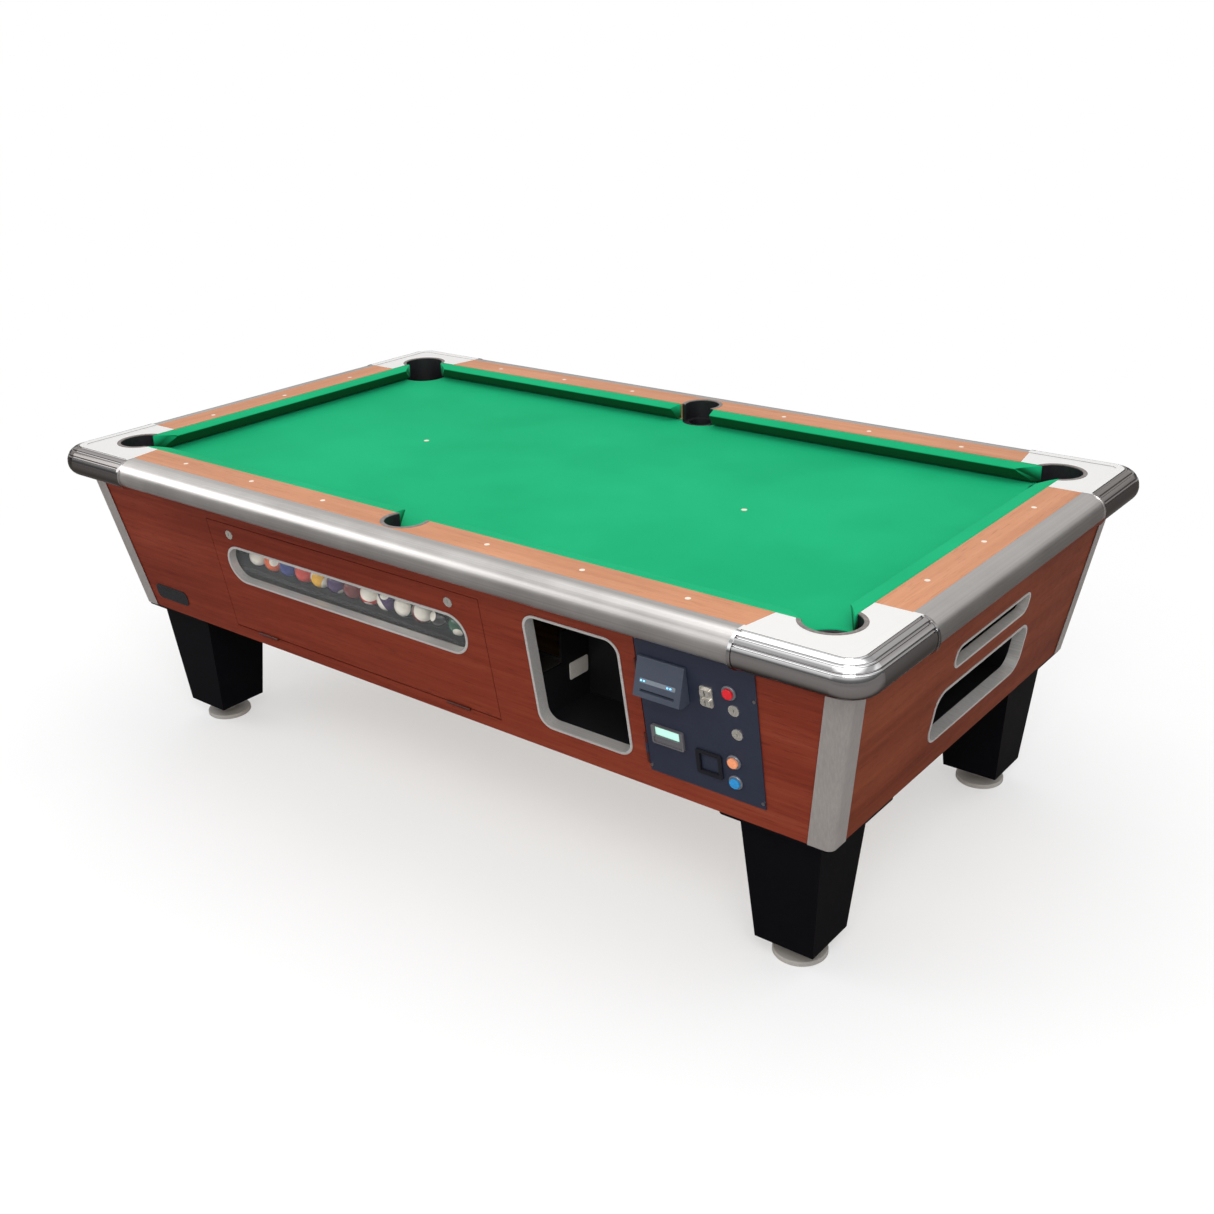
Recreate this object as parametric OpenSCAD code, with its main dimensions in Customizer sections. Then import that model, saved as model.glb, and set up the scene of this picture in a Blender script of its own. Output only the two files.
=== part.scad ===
// Coin-operated pool table: six pockets, ball return, tapered cabinet on four levelling legs.
// Millimetres. Origin on the floor under the middle of the table, +X towards the foot end,
// -Y towards the long side with the ball window and the coin controls, +Z up.

/* [Playing surface] */
// Playing length between the cushion noses
play_l = 2032; // [1900:10:2160]
// Playing width between the cushion noses
play_w = 1016; // [980:4:1060]
// Height of the rail tops above the floor
rail_top_z = 804; // [790:1:820]
// Depth of the bed cloth below the rail tops
bed_drop = 44; // [42:1:48]
// Thickness of the slate
slate_t = 19; // [16:1:22]
// Ball diameter
ball_d = 57.15; // [54:0.05:57.2]

/* [Rails] */
// Width of a cushion from its nose to its back
cushion_w = 39; // [36:1:44]
// Height of the cushion nose above the cloth
nose_h = 36; // [34:0.5:38]
// Distance from a cushion nose to the outer edge of the flat rail top
flat_w = 120; // [114:1:126]
// Projection of the rounded rail trim beyond the flat rail top
trim_out = 52; // [44:1:58]
// Height of the rounded rail trim
trim_h = 71; // [66:1:74]

/* [Pockets] */
// Outer radius of a corner pocket rim
corner_r = 65; // [62:1:68]
// Outer radius of a side pocket rim
side_r = 56; // [53:1:58]
// Width of the pocket rim
rim_w = 9; // [6:1:10]
// Mouth of a corner pocket between the two cushion noses
corner_mouth = 115; // [108:1:124]
// Mouth of a side pocket between the two cushion noses
side_mouth = 128; // [122:1:136]

/* [Cabinet] */
// Half length of the cabinet at its bottom edge
cab_hl = 1071; // [1066:1:1080]
// Half width of the cabinet at its bottom edge
cab_hw = 560; // [556:1:566]
// Height of the cabinet's bottom edge above the floor
cab_bottom_z = 352; // [340:1:360]
// Outward lean of the cabinet walls in degrees
lean = 9.37; // [9:0.01:9.8]
// Thickness of the cabinet walls
wall_t = 19; // [16:1:20]

/* [Legs] */
// Distance of a leg's centre from the middle of the table, lengthwise
leg_x = 942; // [930:1:950]
// Distance of a leg's centre from the middle of the table, crosswise
leg_y = 438; // [430:1:440]
// Width of a leg at its top
leg_top_w = 188; // [170:1:200]
// Width of a leg at its bottom
leg_bottom_w = 138; // [120:1:150]
// Height of a leg's bottom above the floor
leg_clear = 48; // [44:1:60]
// Diameter of a levelling foot
foot_d = 117; // [90:1:120]

/* [Ball door and openings] */
// Height of the middle of the ball window
window_z = 579; // [575:1:583]
// Length of the ball window's frame
window_l = 813; // [780:1:820]
// Height of the ball window's frame
window_h = 104; // [96:1:108]
// Width of the ball return opening's frame
return_w = 252; // [240:1:256]
// Height of the ball return opening's frame
return_h = 284; // [270:1:290]

/* [Hidden] */

$fn = 64;
far = 1500;              // larger than any distance in the table, for cutting blocks
touch = 0.2;             // gap between two fixed pieces that sit against each other
run_fit = 0.05;          // radial clearance of a turning or sliding round part

// Playing surface
bed_z = rail_top_z - bed_drop;
cloth_t = 1;
slate_z = bed_z - cloth_t - slate_t;
half_l = play_l / 2;
half_w = play_w / 2;
flat_hl = half_l + flat_w - 3;
flat_hw = half_w + flat_w;
back_l = half_l + cushion_w;
back_w = half_w + cushion_w;
trim_bottom_z = rail_top_z - trim_h;
slate_hl = cab_hl + 29;
slate_hw = cab_hw + 32;

// Rails and castings
casting_x = 924;         // where a casting meets the wood on a long side, mid-rail
casting_y = 406;         // where a casting meets the wood on an end
joint_slant = 9;         // slant of the long sides' joints in degrees
casting_proud = 3.5;     // how far a casting stands out beyond the rail trim
corner_plan_r = 15;      // plan radius of the flat top's corners
rail_foot_z = slate_z + 1;
sight_r = 6;
side_pocket_y = half_w + 62;
side_cup_y = side_pocket_y - 9;
side_cup_r = 36;
corner_pocket = [half_l + 16.6, half_w + 12.8];
liner_bottom_z = 700;

rail_bolt_x = [130, 330, 530, 730, 880];
rail_bolt_y = [0, 220, 390];
rail_bolt_r = 4.8;
rail_bolt_in = 13;       // distance of the bolts from the backs of the cushions

// Cabinet
lean_slope = tan(lean);
wall_run = wall_t / cos(lean);
mitre = cab_hl - cab_hw;
corner_lean = atan(lean_slope * sqrt(2));
corner_half = 90 - atan2(cos(lean) / sqrt(2),
                         cos(lean) * cos(corner_lean) / sqrt(2) + sin(lean) * sin(corner_lean));
corner_cut = 22;         // depth of the flat cut along each cabinet corner, behind the corner trim
trim_flange = 45;        // length of a corner trim's flange from the corner
ledger_z = 708;          // underside of the frame that carries the slate

// Legs and levelling feet
leg_plate_t = 6;
leg_top_z = cab_bottom_z - leg_plate_t;
leg_bolt_reach = 60;     // distance of a leg's bolts from its centre, along each side
leg_bolt_r = 5;
stud_r = 8;
stud_top_z = leg_clear + 74;

// Openings in the walls: places along the table, and heights above the floor
door_x = -210;
door_w = 910;
door_low_z = 386;
door_high_z = 688;
window_x = -214.5;
return_x = 492;
return_z = 550.5;
panel_left = 661.5;
panel_right = 934;
panel_low_z = 401;
panel_high_z = trim_bottom_z - 3;
panel_t = 2.5;
panel_face = 0.5 + panel_t;
return_r = 36;
foot_opening_y = 20;
foot_slot = [610.5, 367, 56, 24];        // height of the middle, width, height, corner radius
cue_return = [482.5, 456, 128, 40];
sleeve_lip = 3;          // how far a sleeve's lip reaches over the wall
sleeve_wall = 3;

// Hinges
knuckle_r = 3;
pin_r = 1.2;
leaf_t = 1.5;
leaf_gap = 0.2;
jamb_gap = 2 * (leaf_gap + leaf_t) + 2 * touch;
knuckle_l = 24;
hinge_out = knuckle_r + 0.2;
door_hinge_x = 330;      // distance of the door's hinges from its middle
door_hinge_v = (door_low_z - cab_bottom_z) / cos(lean) - jamb_gap / 2;
panel_hinge_x = panel_left - 1.2 - jamb_gap / 2;
panel_hinge_z = [455, 630];

// Cam locks: the door's pair, then the upper and the lower lock of the control panel
lock_bore = 6;
lock_body_r = 9.5;
lock_z = [door_high_z - 28, 614, 561];
door_lock_x = [-587, 154];
panel_lock_x = [881, 884];
cam_low = -24;

// Control panel: places along the table and heights above the floor
acceptor_x = 725;
acceptor_z = 639;
display_x = 717.5;
display_z = 500;
coin_x = 822;
coin_z = 628;
cup_x = 812;
cup_z = 469;
button_spots = [[874, 652], [870, 493], [870, 445]];
button_r = 11.5;
flap_pin_r = 1.5;
flap_pin_y = 17;
flap_pin_z = 0.5;

// Ball path: floor heights at both ends of each run. The walls of a run stay below the floor of
// the run that feeds it, so that a ball rolls from one onto the next.
chute_z = [676, 664];
gully_z = [646, 630];
cross_z = [612, 606];
return_run_z = [593, 582];
feeder_z = [566, 561];
tray_z = [554, 532];
gully_y = 430;
cross_x = 1032;
feeder_x = -703;
tray_y = -527;
tray_end_x = 366;
run_inside = 64;
run_t = 4;
run_half = run_inside / 2 + run_t;
tray_start_x = feeder_x - run_half;
cue_hole_r = 30;         // hole through which the cue ball leaves the return run
gate_x = 252;
gate_pin_r = 3;
gate_pin_up = 70;
ball_count = 15;
ball_colours = [[0.1, 0.35, 0.2], [0.75, 0.12, 0.1], [0.1, 0.12, 0.35], [0.85, 0.4, 0.1], [0.9, 0.7, 0.1]];

function up(z) = (z - cab_bottom_z) / cos(lean);
function arc(cx, cy, r, from, to, steps = 12) =
    [for (i = [0:steps]) let (a = from + (to - from) * i / steps) [cx + r * cos(a), cy + r * sin(a)]];
function tray_floor(x) =
    tray_z[0] + (tray_z[1] - tray_z[0]) * (x - tray_start_x) / (tray_end_x - tray_start_x);

// ---------------------------------------------------------------- placing

// On the front wall: x along the table, y up the lean, z out of the wall
module on_front() {
    translate([0, -cab_hw, cab_bottom_z]) rotate([90 + lean, 0, 0]) children();
}

// On the foot wall: x across the table, y up the lean, z out of the wall
module on_foot() {
    rotate([0, 0, 90]) translate([0, -cab_hl, cab_bottom_z]) rotate([90 + lean, 0, 0]) children();
}

// At the middle of an opening in the foot wall
module at_foot_opening(opening) {
    on_foot() translate([foot_opening_y, up(opening[0]), 0]) children();
}

module both_sides() {
    children();
    mirror([0, 1, 0]) children();
}

module both_ends() {
    children();
    mirror([1, 0, 0]) children();
}

module four_corners() both_ends() both_sides() children();

// ---------------------------------------------------------------- plain shapes

module box(low, high) {
    translate(low) cube(high - low);
}

module rounded(w, h, r) {
    square([w - 2 * r, h], center = true);
    square([w, h - 2 * r], center = true);
    for (sx = [-1, 1], sy = [-1, 1])
        translate([sx * (w / 2 - r), sy * (h / 2 - r)]) circle(r);
}

module rounded_block(w, h, r, low, high) {
    translate([0, 0, low]) linear_extrude(high - low) rounded(w, h, r);
}

// Sleeve that lines an opening, with a thin lip on the outer face
module opening_sleeve(w, h, r, depth) {
    lip_t = 1.6;
    inset = sleeve_lip + sleeve_wall;
    difference() {
        union() {
            rounded_block(w, h, r, touch, lip_t);
            rounded_block(w - 2 * sleeve_lip, h - 2 * sleeve_lip, r - sleeve_lip, -depth, lip_t);
        }
        rounded_block(w - 2 * inset, h - 2 * inset, r - inset, -depth - 1, lip_t + 1);
    }
}

// Hole that takes an opening sleeve
module sleeve_hole(w, h, r) {
    inset = sleeve_lip - touch;
    rounded_block(w - 2 * inset, h - 2 * inset, r - inset, -far / 10, far / 10);
}

// U-shaped channel for the balls, between two floor points
module ball_run(from, to, inside = run_inside, wall_h = 14) {
    d = to - from;
    flat = norm([d.x, d.y]);
    translate(from) rotate([0, 0, atan2(d.y, d.x)]) rotate([0, -atan2(d.z, flat), 0])
        difference() {
            translate([0, -inside / 2 - run_t, -run_t]) cube([norm(d), inside + 2 * run_t, wall_h + run_t]);
            translate([-1, -inside / 2, 0]) cube([norm(d) + 2, inside, wall_h + 1]);
        }
}

// ---------------------------------------------------------------- cabinet

// A wall that leans out from the origin of its own frame, mitred to its neighbours
module leaning_wall(reach, apex) {
    intersection() {
        rotate([90 + lean, 0, 0]) translate([-far, -far, -wall_t]) cube([2 * far, 2 * far, wall_t]);
        linear_extrude(slate_z - cab_bottom_z)
            polygon([[0, apex], [-reach, apex - reach], [reach, apex - reach]]);
    }
}

// Frame of the leaning corner line: z along it, x straight out of the corner
module corner_frame() {
    translate([cab_hl, -cab_hw, cab_bottom_z]) rotate([0, 0, -45]) rotate([0, corner_lean, 0]) children();
}

module corner_cuts() {
    four_corners() corner_frame()
        box([-corner_cut - touch, -far / 10, -far / 10], [far / 10, far / 10, far / 2]);
}

module long_wall() {
    translate([0, -cab_hw, cab_bottom_z]) leaning_wall(1300, cab_hl - touch);
}

// The top edge of an end wall is cut back to the face of the rail, behind the rail trim
module end_wall() {
    difference() {
        rotate([0, 0, 90]) translate([0, -cab_hl, cab_bottom_z]) leaning_wall(1300, cab_hw - touch);
        box([flat_hl - touch, -far, 0], [far, far, far]);
    }
}

module cabinet_front() {
    color([0.45, 0.17, 0.12]) difference() {
        long_wall();
        corner_cuts();
        on_front() {
            box([door_x - door_w / 2 - 2, up(door_low_z) - jamb_gap, -far / 10],
                [door_x + door_w / 2 + 2, up(door_high_z) + 2, far / 10]);
            translate([return_x, up(return_z), 0]) sleeve_hole(return_w, return_h, return_r);
            box([panel_left - jamb_gap - 1.2, up(panel_low_z + 12), -far / 10],
                [panel_right - 12, up(panel_high_z - 12), far / 10]);
        }
    }
}

module cabinet_back() {
    color([0.45, 0.17, 0.12]) difference() {
        mirror([0, 1, 0]) long_wall();
        corner_cuts();
    }
}

module cabinet_head() {
    color([0.43, 0.18, 0.12]) difference() {
        mirror([1, 0, 0]) end_wall();
        corner_cuts();
    }
}

module cabinet_foot() {
    color([0.43, 0.18, 0.12]) difference() {
        end_wall();
        corner_cuts();
        for (o = [foot_slot, cue_return]) at_foot_opening(o) sleeve_hole(o[1], o[2], o[3]);
    }
}

module cabinet_floor() {
    color([0.55, 0.42, 0.3]) difference() {
        box([-cab_hl + wall_run + touch, -cab_hw + wall_run + touch, cab_bottom_z],
            [cab_hl - wall_run - touch, cab_hw - wall_run - touch, cab_bottom_z + wall_t]);
        leg_bolt_holes(cab_bottom_z - 1, cab_bottom_z + wall_t + 1);
        corner_cuts();
    }
}

// Aluminium trim round each leaning corner, with flanges over both walls
module corner_trims() {
    proud = 2.5;
    round_r = 16;
    arm = [-cos(corner_half), sin(corner_half)];
    out = [sin(corner_half), cos(corner_half)];
    centre = [-(round_r - proud) / sin(corner_half), 0];
    tangent = centre + round_r * out;
    tip = tangent + (trim_flange - 8) * arm;
    color([0.58, 0.56, 0.55]) four_corners() intersection() {
        corner_frame() translate([0, 0, -far / 10]) linear_extrude(far / 2) difference() {
            union() {
                translate(centre) circle(round_r);
                polygon([centre, tangent, tip, [tip.x, -tip.y], [tangent.x, -tangent.y]]);
            }
            intersection() {
                translate([touch / sin(corner_half), 0])
                    polygon([[0, 0], 90 * arm, [90 * arm.x, -90 * arm.y]]);
                translate([-100 - corner_cut, -100]) square([100, 200]);
            }
        }
        box([0, -far, cab_bottom_z], [far, 0, trim_bottom_z - 4]);
    }
}

// Frame of timbers inside the walls that carries the slate
module slate_frame() {
    ledger_w = 28;
    brace_w = 60;
    brace_x = [200, 600];
    outer = [cab_hl + lean_slope * (ledger_z - cab_bottom_z) - wall_run - 1,
             cab_hw + lean_slope * (ledger_z - cab_bottom_z) - wall_run - 1];
    inner = [outer.x - ledger_w, outer.y - ledger_w];
    color([0.72, 0.58, 0.4]) difference() {
        union() {
            difference() {
                box([-outer.x, -outer.y, ledger_z], [outer.x, outer.y, slate_z]);
                box([-inner.x, -inner.y, ledger_z - 1], [inner.x, inner.y, slate_z + 1]);
            }
            for (x = brace_x, s = [-1, 1])
                translate([s * x, 0, 0])
                    box([-brace_w / 2, -inner.y - 1, ledger_z], [brace_w / 2, inner.y + 1, slate_z]);
            box([-brace_x[1], -brace_w / 2, ledger_z], [brace_x[1], brace_w / 2, slate_z]);
        }
        four_corners() translate([corner_pocket.x, corner_pocket.y, 0])
            cylinder(r = corner_r + 2, h = far);
        both_sides() translate([0, side_cup_y, 0]) cylinder(r = side_cup_r + 2, h = far);
    }
}

// ---------------------------------------------------------------- bed

// Everything removed from the slate and the cloth round the pockets
module pocket_cuts() {
    four_corners() translate([corner_pocket.x, corner_pocket.y, slate_z - 1]) {
        cylinder(r = corner_r + touch, h = far / 10);
        cube(far / 10);
    }
    both_sides() translate([0, side_pocket_y, slate_z - 1]) {
        cylinder(r = side_r + touch, h = far / 10);
        translate([-side_r, 0, 0]) cube([2 * side_r, far / 10, far / 10]);
    }
}

module at_rail_bolts() {
    four_corners() for (x = rail_bolt_x) translate([x, back_w + rail_bolt_in, 0]) children();
    both_ends() for (y = rail_bolt_y, s = [-1, 1])
        if (y > 0 || s > 0) translate([back_l + rail_bolt_in, s * y, 0]) children();
}

module bed_slate() {
    color([0.35, 0.36, 0.38]) difference() {
        box([-slate_hl, -slate_hw, slate_z], [slate_hl, slate_hw, slate_z + slate_t]);
        pocket_cuts();
        at_rail_bolts() translate([0, 0, slate_z - 1]) cylinder(r = rail_bolt_r + 0.4, h = slate_t + 2);
    }
}

module bed_cloth() {
    color([0.1, 0.65, 0.42]) difference() {
        box([-slate_hl, -slate_hw, bed_z - cloth_t], [slate_hl, slate_hw, bed_z]);
        pocket_cuts();
        at_rail_bolts() translate([0, 0, bed_z - 5]) cylinder(r = rail_bolt_r + 0.4, h = 10);
    }
}

// ---------------------------------------------------------------- rails

module at_sights_of_sides() {
    four_corners() for (i = [1:3]) translate([i * play_l / 8, half_w + 76, 0]) children();
}

module at_sights_of_ends() {
    both_ends() for (i = [-1:1]) translate([half_l + 69, i * play_w / 4, 0]) children();
}

module sight_recess() {
    translate([0, 0, rail_top_z - 1.5]) cylinder(r = sight_r + 0.2, h = 3);
}

module rail_bolt_recess() {
    translate([0, 0, bed_z - 1]) cylinder(r = rail_bolt_r + 0.2, h = 28);
}

// Timber rail of a long side, from casting to casting
module side_rail() {
    slant = tan(joint_slant) * (flat_hw - back_w) / 2;
    difference() {
        translate([0, 0, rail_foot_z]) linear_extrude(rail_top_z - rail_foot_z)
            polygon([[-casting_x - slant, back_w + touch], [casting_x + slant, back_w + touch],
                     [casting_x - slant, flat_hw], [-casting_x + slant, flat_hw]]);
        box([-far, 0, 0], [far, slate_hw + 4, bed_z + touch]);
        translate([0, side_pocket_y, 0]) cylinder(r = side_r + touch, h = far);
        at_sights_of_sides() sight_recess();
        at_rail_bolts() rail_bolt_recess();
    }
}

module side_rails() {
    color([0.8, 0.56, 0.42]) both_sides() side_rail();
}

module end_rails() {
    color([0.8, 0.56, 0.42]) both_ends() difference() {
        box([back_l + touch, -casting_y, rail_foot_z], [flat_hl, casting_y, rail_top_z]);
        box([0, -far, 0], [slate_hl + 4, far, bed_z + touch]);
        at_sights_of_ends() sight_recess();
        at_rail_bolts() rail_bolt_recess();
    }
}

// Half-round outline of the rail edge: x out from the flat top, y up from the floor. It is grown
// outwards by proud, and a negative value shrinks it.
function edge_top_r(proud) = 38 + proud / 2;
function edge_top(proud) = rail_top_z + min(proud, 0.8);

module edge_outline(proud) {
    top_r = edge_top_r(proud);
    low_r = trim_h - 40 + proud / 2;
    top = edge_top(proud);
    bottom = trim_bottom_z - proud;
    edge = trim_out + proud;
    translate([0, top - top_r]) square([edge - top_r, top_r]);
    translate([0, bottom]) square([edge - low_r, low_r]);
    translate([0, bottom + low_r]) square([edge, top - bottom - top_r - low_r]);
    intersection() {
        translate([edge - top_r, top - top_r]) circle(top_r);
        translate([edge - top_r, top - top_r]) square(top_r + 1);
    }
    intersection() {
        translate([edge - low_r, bottom + low_r]) circle(low_r);
        translate([edge - low_r, bottom - 1]) square(low_r + 1);
    }
}

// Shell of the rail edge, open towards the rail
module edge_shell(proud, wall) {
    difference() {
        edge_outline(proud);
        translate([-1, 0]) edge_outline(proud - wall);
    }
}

module trim_section() edge_shell(0, 3.5);

// Section of a casting's rounded edge: a thick shell with lengthwise grooves
module casting_section() {
    groove_r = 4;
    groove_out = 1;
    top_r = edge_top_r(casting_proud);
    centre = [trim_out + casting_proud - top_r, edge_top(casting_proud) - top_r];
    difference() {
        edge_shell(casting_proud, 9);
        for (a = [80, 56, 32])
            translate(centre + (top_r + groove_out) * [cos(a), sin(a)]) circle(groove_r);
    }
}

// Raised bead round the end of a casting's edge
module casting_bead() edge_shell(casting_proud + 2, 9);

module along_x(from, to) {
    translate([from, 0, 0]) rotate([90, 0, 90]) linear_extrude(to - from) children();
}

module rail_trims() {
    color([0.78, 0.77, 0.76]) {
        both_sides() translate([0, flat_hw + touch, 0])
            along_x(-casting_x + 10, casting_x - 10) trim_section();
        both_ends() rotate([0, 0, -90]) translate([0, flat_hl + touch, 0])
            along_x(-casting_y + touch, casting_y - touch) trim_section();
    }
}

module corner_casting() {
    centre = [flat_hl - corner_plan_r, flat_hw - corner_plan_r];
    slant = tan(joint_slant) * (flat_hw - back_w) / 2;
    edge_x = casting_x - 10 + 2 * touch;
    edge_y = casting_y + touch;
    plate_t = 9;
    plate_in = 1;
    bead_l = 7;
    difference() {
        union() {
            translate([0, 0, rail_top_z - plate_t]) linear_extrude(plate_t) {
                polygon([[casting_x + slant + touch, back_w + touch], [casting_x - slant + touch, flat_hw],
                         [casting_x - slant + touch, flat_hw + plate_in],
                         [centre.x, flat_hw + plate_in], centre,
                         [flat_hl + plate_in, centre.y], [flat_hl + plate_in, edge_y],
                         [back_l + touch, edge_y], [back_l + touch, back_w + touch]]);
                translate(centre) circle(corner_plan_r + plate_in);
            }
            translate([0, flat_hw, 0]) {
                along_x(edge_x, edge_x + bead_l) casting_bead();
                along_x(edge_x + 1, centre.x) casting_section();
            }
            translate([flat_hl, 0, 0]) mirror([1, -1, 0]) {
                along_x(edge_y, edge_y + bead_l) casting_bead();
                along_x(edge_y + 1, centre.y) casting_section();
            }
            translate([centre.x, centre.y, 0]) rotate_extrude(angle = 90)
                translate([corner_plan_r, 0]) casting_section();
        }
        translate([corner_pocket.x, corner_pocket.y, 0]) cylinder(r = corner_r + touch, h = far);
    }
}

module corner_castings() {
    color([0.86, 0.86, 0.87]) four_corners() corner_casting();
}

module rail_sights() {
    sight_t = 1.5;
    color([0.92, 0.84, 0.76]) {
        at_sights_of_sides() translate([0, 0, rail_top_z - 1.4]) cylinder(r = sight_r, h = sight_t);
        at_sights_of_ends() translate([0, 0, rail_top_z - 1.4]) cylinder(r = sight_r, h = sight_t);
        both_ends() translate([play_l / 4, 0, bed_z]) cylinder(r = 7, h = 0.3);
    }
}

// ---------------------------------------------------------------- cushions

// Cushion section: x back from the nose, y up from the cloth; skin is taken off all but the back
module cushion_section(skin) {
    nose_r = 2.5;
    polygon(concat(arc(nose_r + skin, nose_h, nose_r - skin / 2, 100, 230, 8),
                   [[cushion_w - 14 + skin, 5 + skin], [cushion_w, 5 + skin], [cushion_w, bed_drop - skin]]));
}

// Cushion along +X from its side-pocket end to its corner end, nose facing -Y; fold is taken off each end
module cushion(from, to, from_angle, to_angle, skin, fold) {
    intersection() {
        translate([0, 0, bed_z]) rotate([90, 0, 90]) translate([0, 0, from - far / 10])
            linear_extrude(to - from + far / 5) cushion_section(skin);
        linear_extrude(far)
            polygon([[from + fold, 0], [to - fold, 0],
                     [to - fold + cushion_w / tan(to_angle), cushion_w],
                     [from + fold - cushion_w / tan(from_angle), cushion_w]]);
    }
}

module all_cushions(skin, fold) {
    corner_cut_back = corner_mouth / sqrt(2);
    corner_angle = 38;
    side_angle = 76;
    four_corners() translate([0, half_w, 0])
        cushion(side_mouth / 2, half_l - corner_cut_back, side_angle, corner_angle, skin, fold);
    both_ends() translate([half_l, 0, 0]) rotate([0, 0, -90])
        cushion(-half_w + corner_cut_back, half_w - corner_cut_back, corner_angle, corner_angle, skin, fold);
}

// What the cloth wraps: its ends are shorter by the facing and the cloth folded over it
module cushion_cores() {
    wrap_t = 1.2;
    end_fold = 7;
    all_cushions(wrap_t, end_fold);
}

module cushion_rubbers() {
    color([0.25, 0.2, 0.16]) cushion_cores();
}

module cushion_cloths() {
    color([0.08, 0.6, 0.38]) difference() {
        all_cushions(0, 0);
        cushion_cores();
    }
}

// ---------------------------------------------------------------- pockets

module corner_pocket_liners() {
    color([0.06, 0.06, 0.07]) four_corners() difference() {
        translate([corner_pocket.x, corner_pocket.y, liner_bottom_z])
            cylinder(r = corner_r, h = rail_top_z - liner_bottom_z + 0.4);
        translate([corner_pocket.x, corner_pocket.y, liner_bottom_z - 1])
            cylinder(r = corner_r - rim_w, h = far);
        box([0, 0, bed_z - 3], [back_l + 1, back_w + 1, far]);
    }
}

module side_pocket_liners() {
    cup_wall = 4;
    shelf_z = bed_z - 3;
    color([0.06, 0.06, 0.07]) both_sides() difference() {
        union() {
            translate([0, side_pocket_y, shelf_z - 6]) cylinder(r = side_r, h = rail_top_z - shelf_z + 6.4);
            translate([0, side_cup_y, liner_bottom_z])
                cylinder(r = side_cup_r, h = shelf_z - liner_bottom_z);
        }
        translate([0, side_pocket_y, shelf_z]) cylinder(r = side_r - rim_w, h = far);
        translate([0, side_cup_y, liner_bottom_z - 1]) cylinder(r = side_cup_r - cup_wall, h = far);
        box([-far, 0, shelf_z], [far, back_w + 1, far]);
    }
}

// ---------------------------------------------------------------- legs

module at_leg_bolts() {
    four_corners() translate([leg_x, leg_y, 0]) for (sx = [-1, 1], sy = [-1, 1])
        translate([sx * leg_bolt_reach, sy * leg_bolt_reach, 0]) children();
}

module leg_bolt_holes(low, high) {
    at_leg_bolts() translate([0, 0, low]) cylinder(r = leg_bolt_r + 0.5, h = high - low);
}

module leg_profile() {
    polygon([[-leg_bottom_w / 2, leg_clear], [leg_bottom_w / 2, leg_clear],
             [leg_top_w / 2, leg_top_z], [-leg_top_w / 2, leg_top_z]]);
}

module legs() {
    color([0.05, 0.05, 0.06]) difference() {
        four_corners() translate([leg_x, leg_y, 0]) difference() {
            intersection() {
                rotate([90, 0, 0]) translate([0, 0, -far / 10]) linear_extrude(far / 5) leg_profile();
                rotate([90, 0, 90]) translate([0, 0, -far / 10]) linear_extrude(far / 5) leg_profile();
            }
            translate([0, 0, leg_clear - 1]) cylinder(r = stud_r + run_fit, h = stud_top_z - leg_clear + 6);
        }
        leg_bolt_holes(leg_top_z - 62, leg_top_z + 1);
    }
}

module leg_plates() {
    plate_w = 258;
    middle = [cab_hl - plate_w / 2 - 1, cab_hw - plate_w / 2 - 1];
    color([0.07, 0.07, 0.08]) difference() {
        four_corners() translate([middle.x, middle.y, leg_top_z]) linear_extrude(leg_plate_t - touch)
            rounded(plate_w, plate_w, 14);
        leg_bolt_holes(leg_top_z - 1, cab_bottom_z);
    }
}

// Bolts that hold the rails to the slate, and the legs to the cabinet floor
module assembly_bolts() {
    color([0.6, 0.6, 0.62]) {
        at_rail_bolts() {
            translate([0, 0, slate_z - 6.5]) cylinder(r = 7.5, h = 6.3, $fn = 6);
            translate([0, 0, slate_z - 1]) cylinder(r = rail_bolt_r, h = slate_t + 24);
        }
        at_leg_bolts() {
            translate([0, 0, cab_bottom_z + wall_t + touch]) cylinder(r = 9, h = 7, $fn = 6);
            translate([0, 0, leg_top_z - 55]) cylinder(r = leg_bolt_r, h = wall_t + leg_plate_t + 57);
        }
    }
}

// Levelling foot: a broad disc on a stud that screws into the leg, with a lock nut against the leg
module leveller() {
    disc_t = 12;
    hub_z = 22;
    nut_r = 14;
    nut_z = [leg_clear - touch - 10, leg_clear - touch];
    color([0.62, 0.6, 0.58]) rotate_extrude() polygon(concat(
        [[0, 0], [foot_d / 2 - 2, 0], [foot_d / 2, 2], [foot_d / 2, disc_t - 3]],
        arc(foot_d / 2 - 3, disc_t - 3, 3, 20, 90, 4),
        [[22, disc_t + 3], [15, hub_z], [stud_r, hub_z],
         [stud_r, nut_z[0]], [nut_r, nut_z[0]], [nut_r, nut_z[1]], [stud_r, nut_z[1]],
         [stud_r, stud_top_z], [0, stud_top_z]]));
}

module leveller_front_head() translate([-leg_x, -leg_y, 0]) leveller();
module leveller_front_foot() translate([leg_x, -leg_y, 0]) leveller();
module leveller_back_head() translate([-leg_x, leg_y, 0]) leveller();
module leveller_back_foot() translate([leg_x, leg_y, 0]) leveller();

// ---------------------------------------------------------------- hinges

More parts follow.
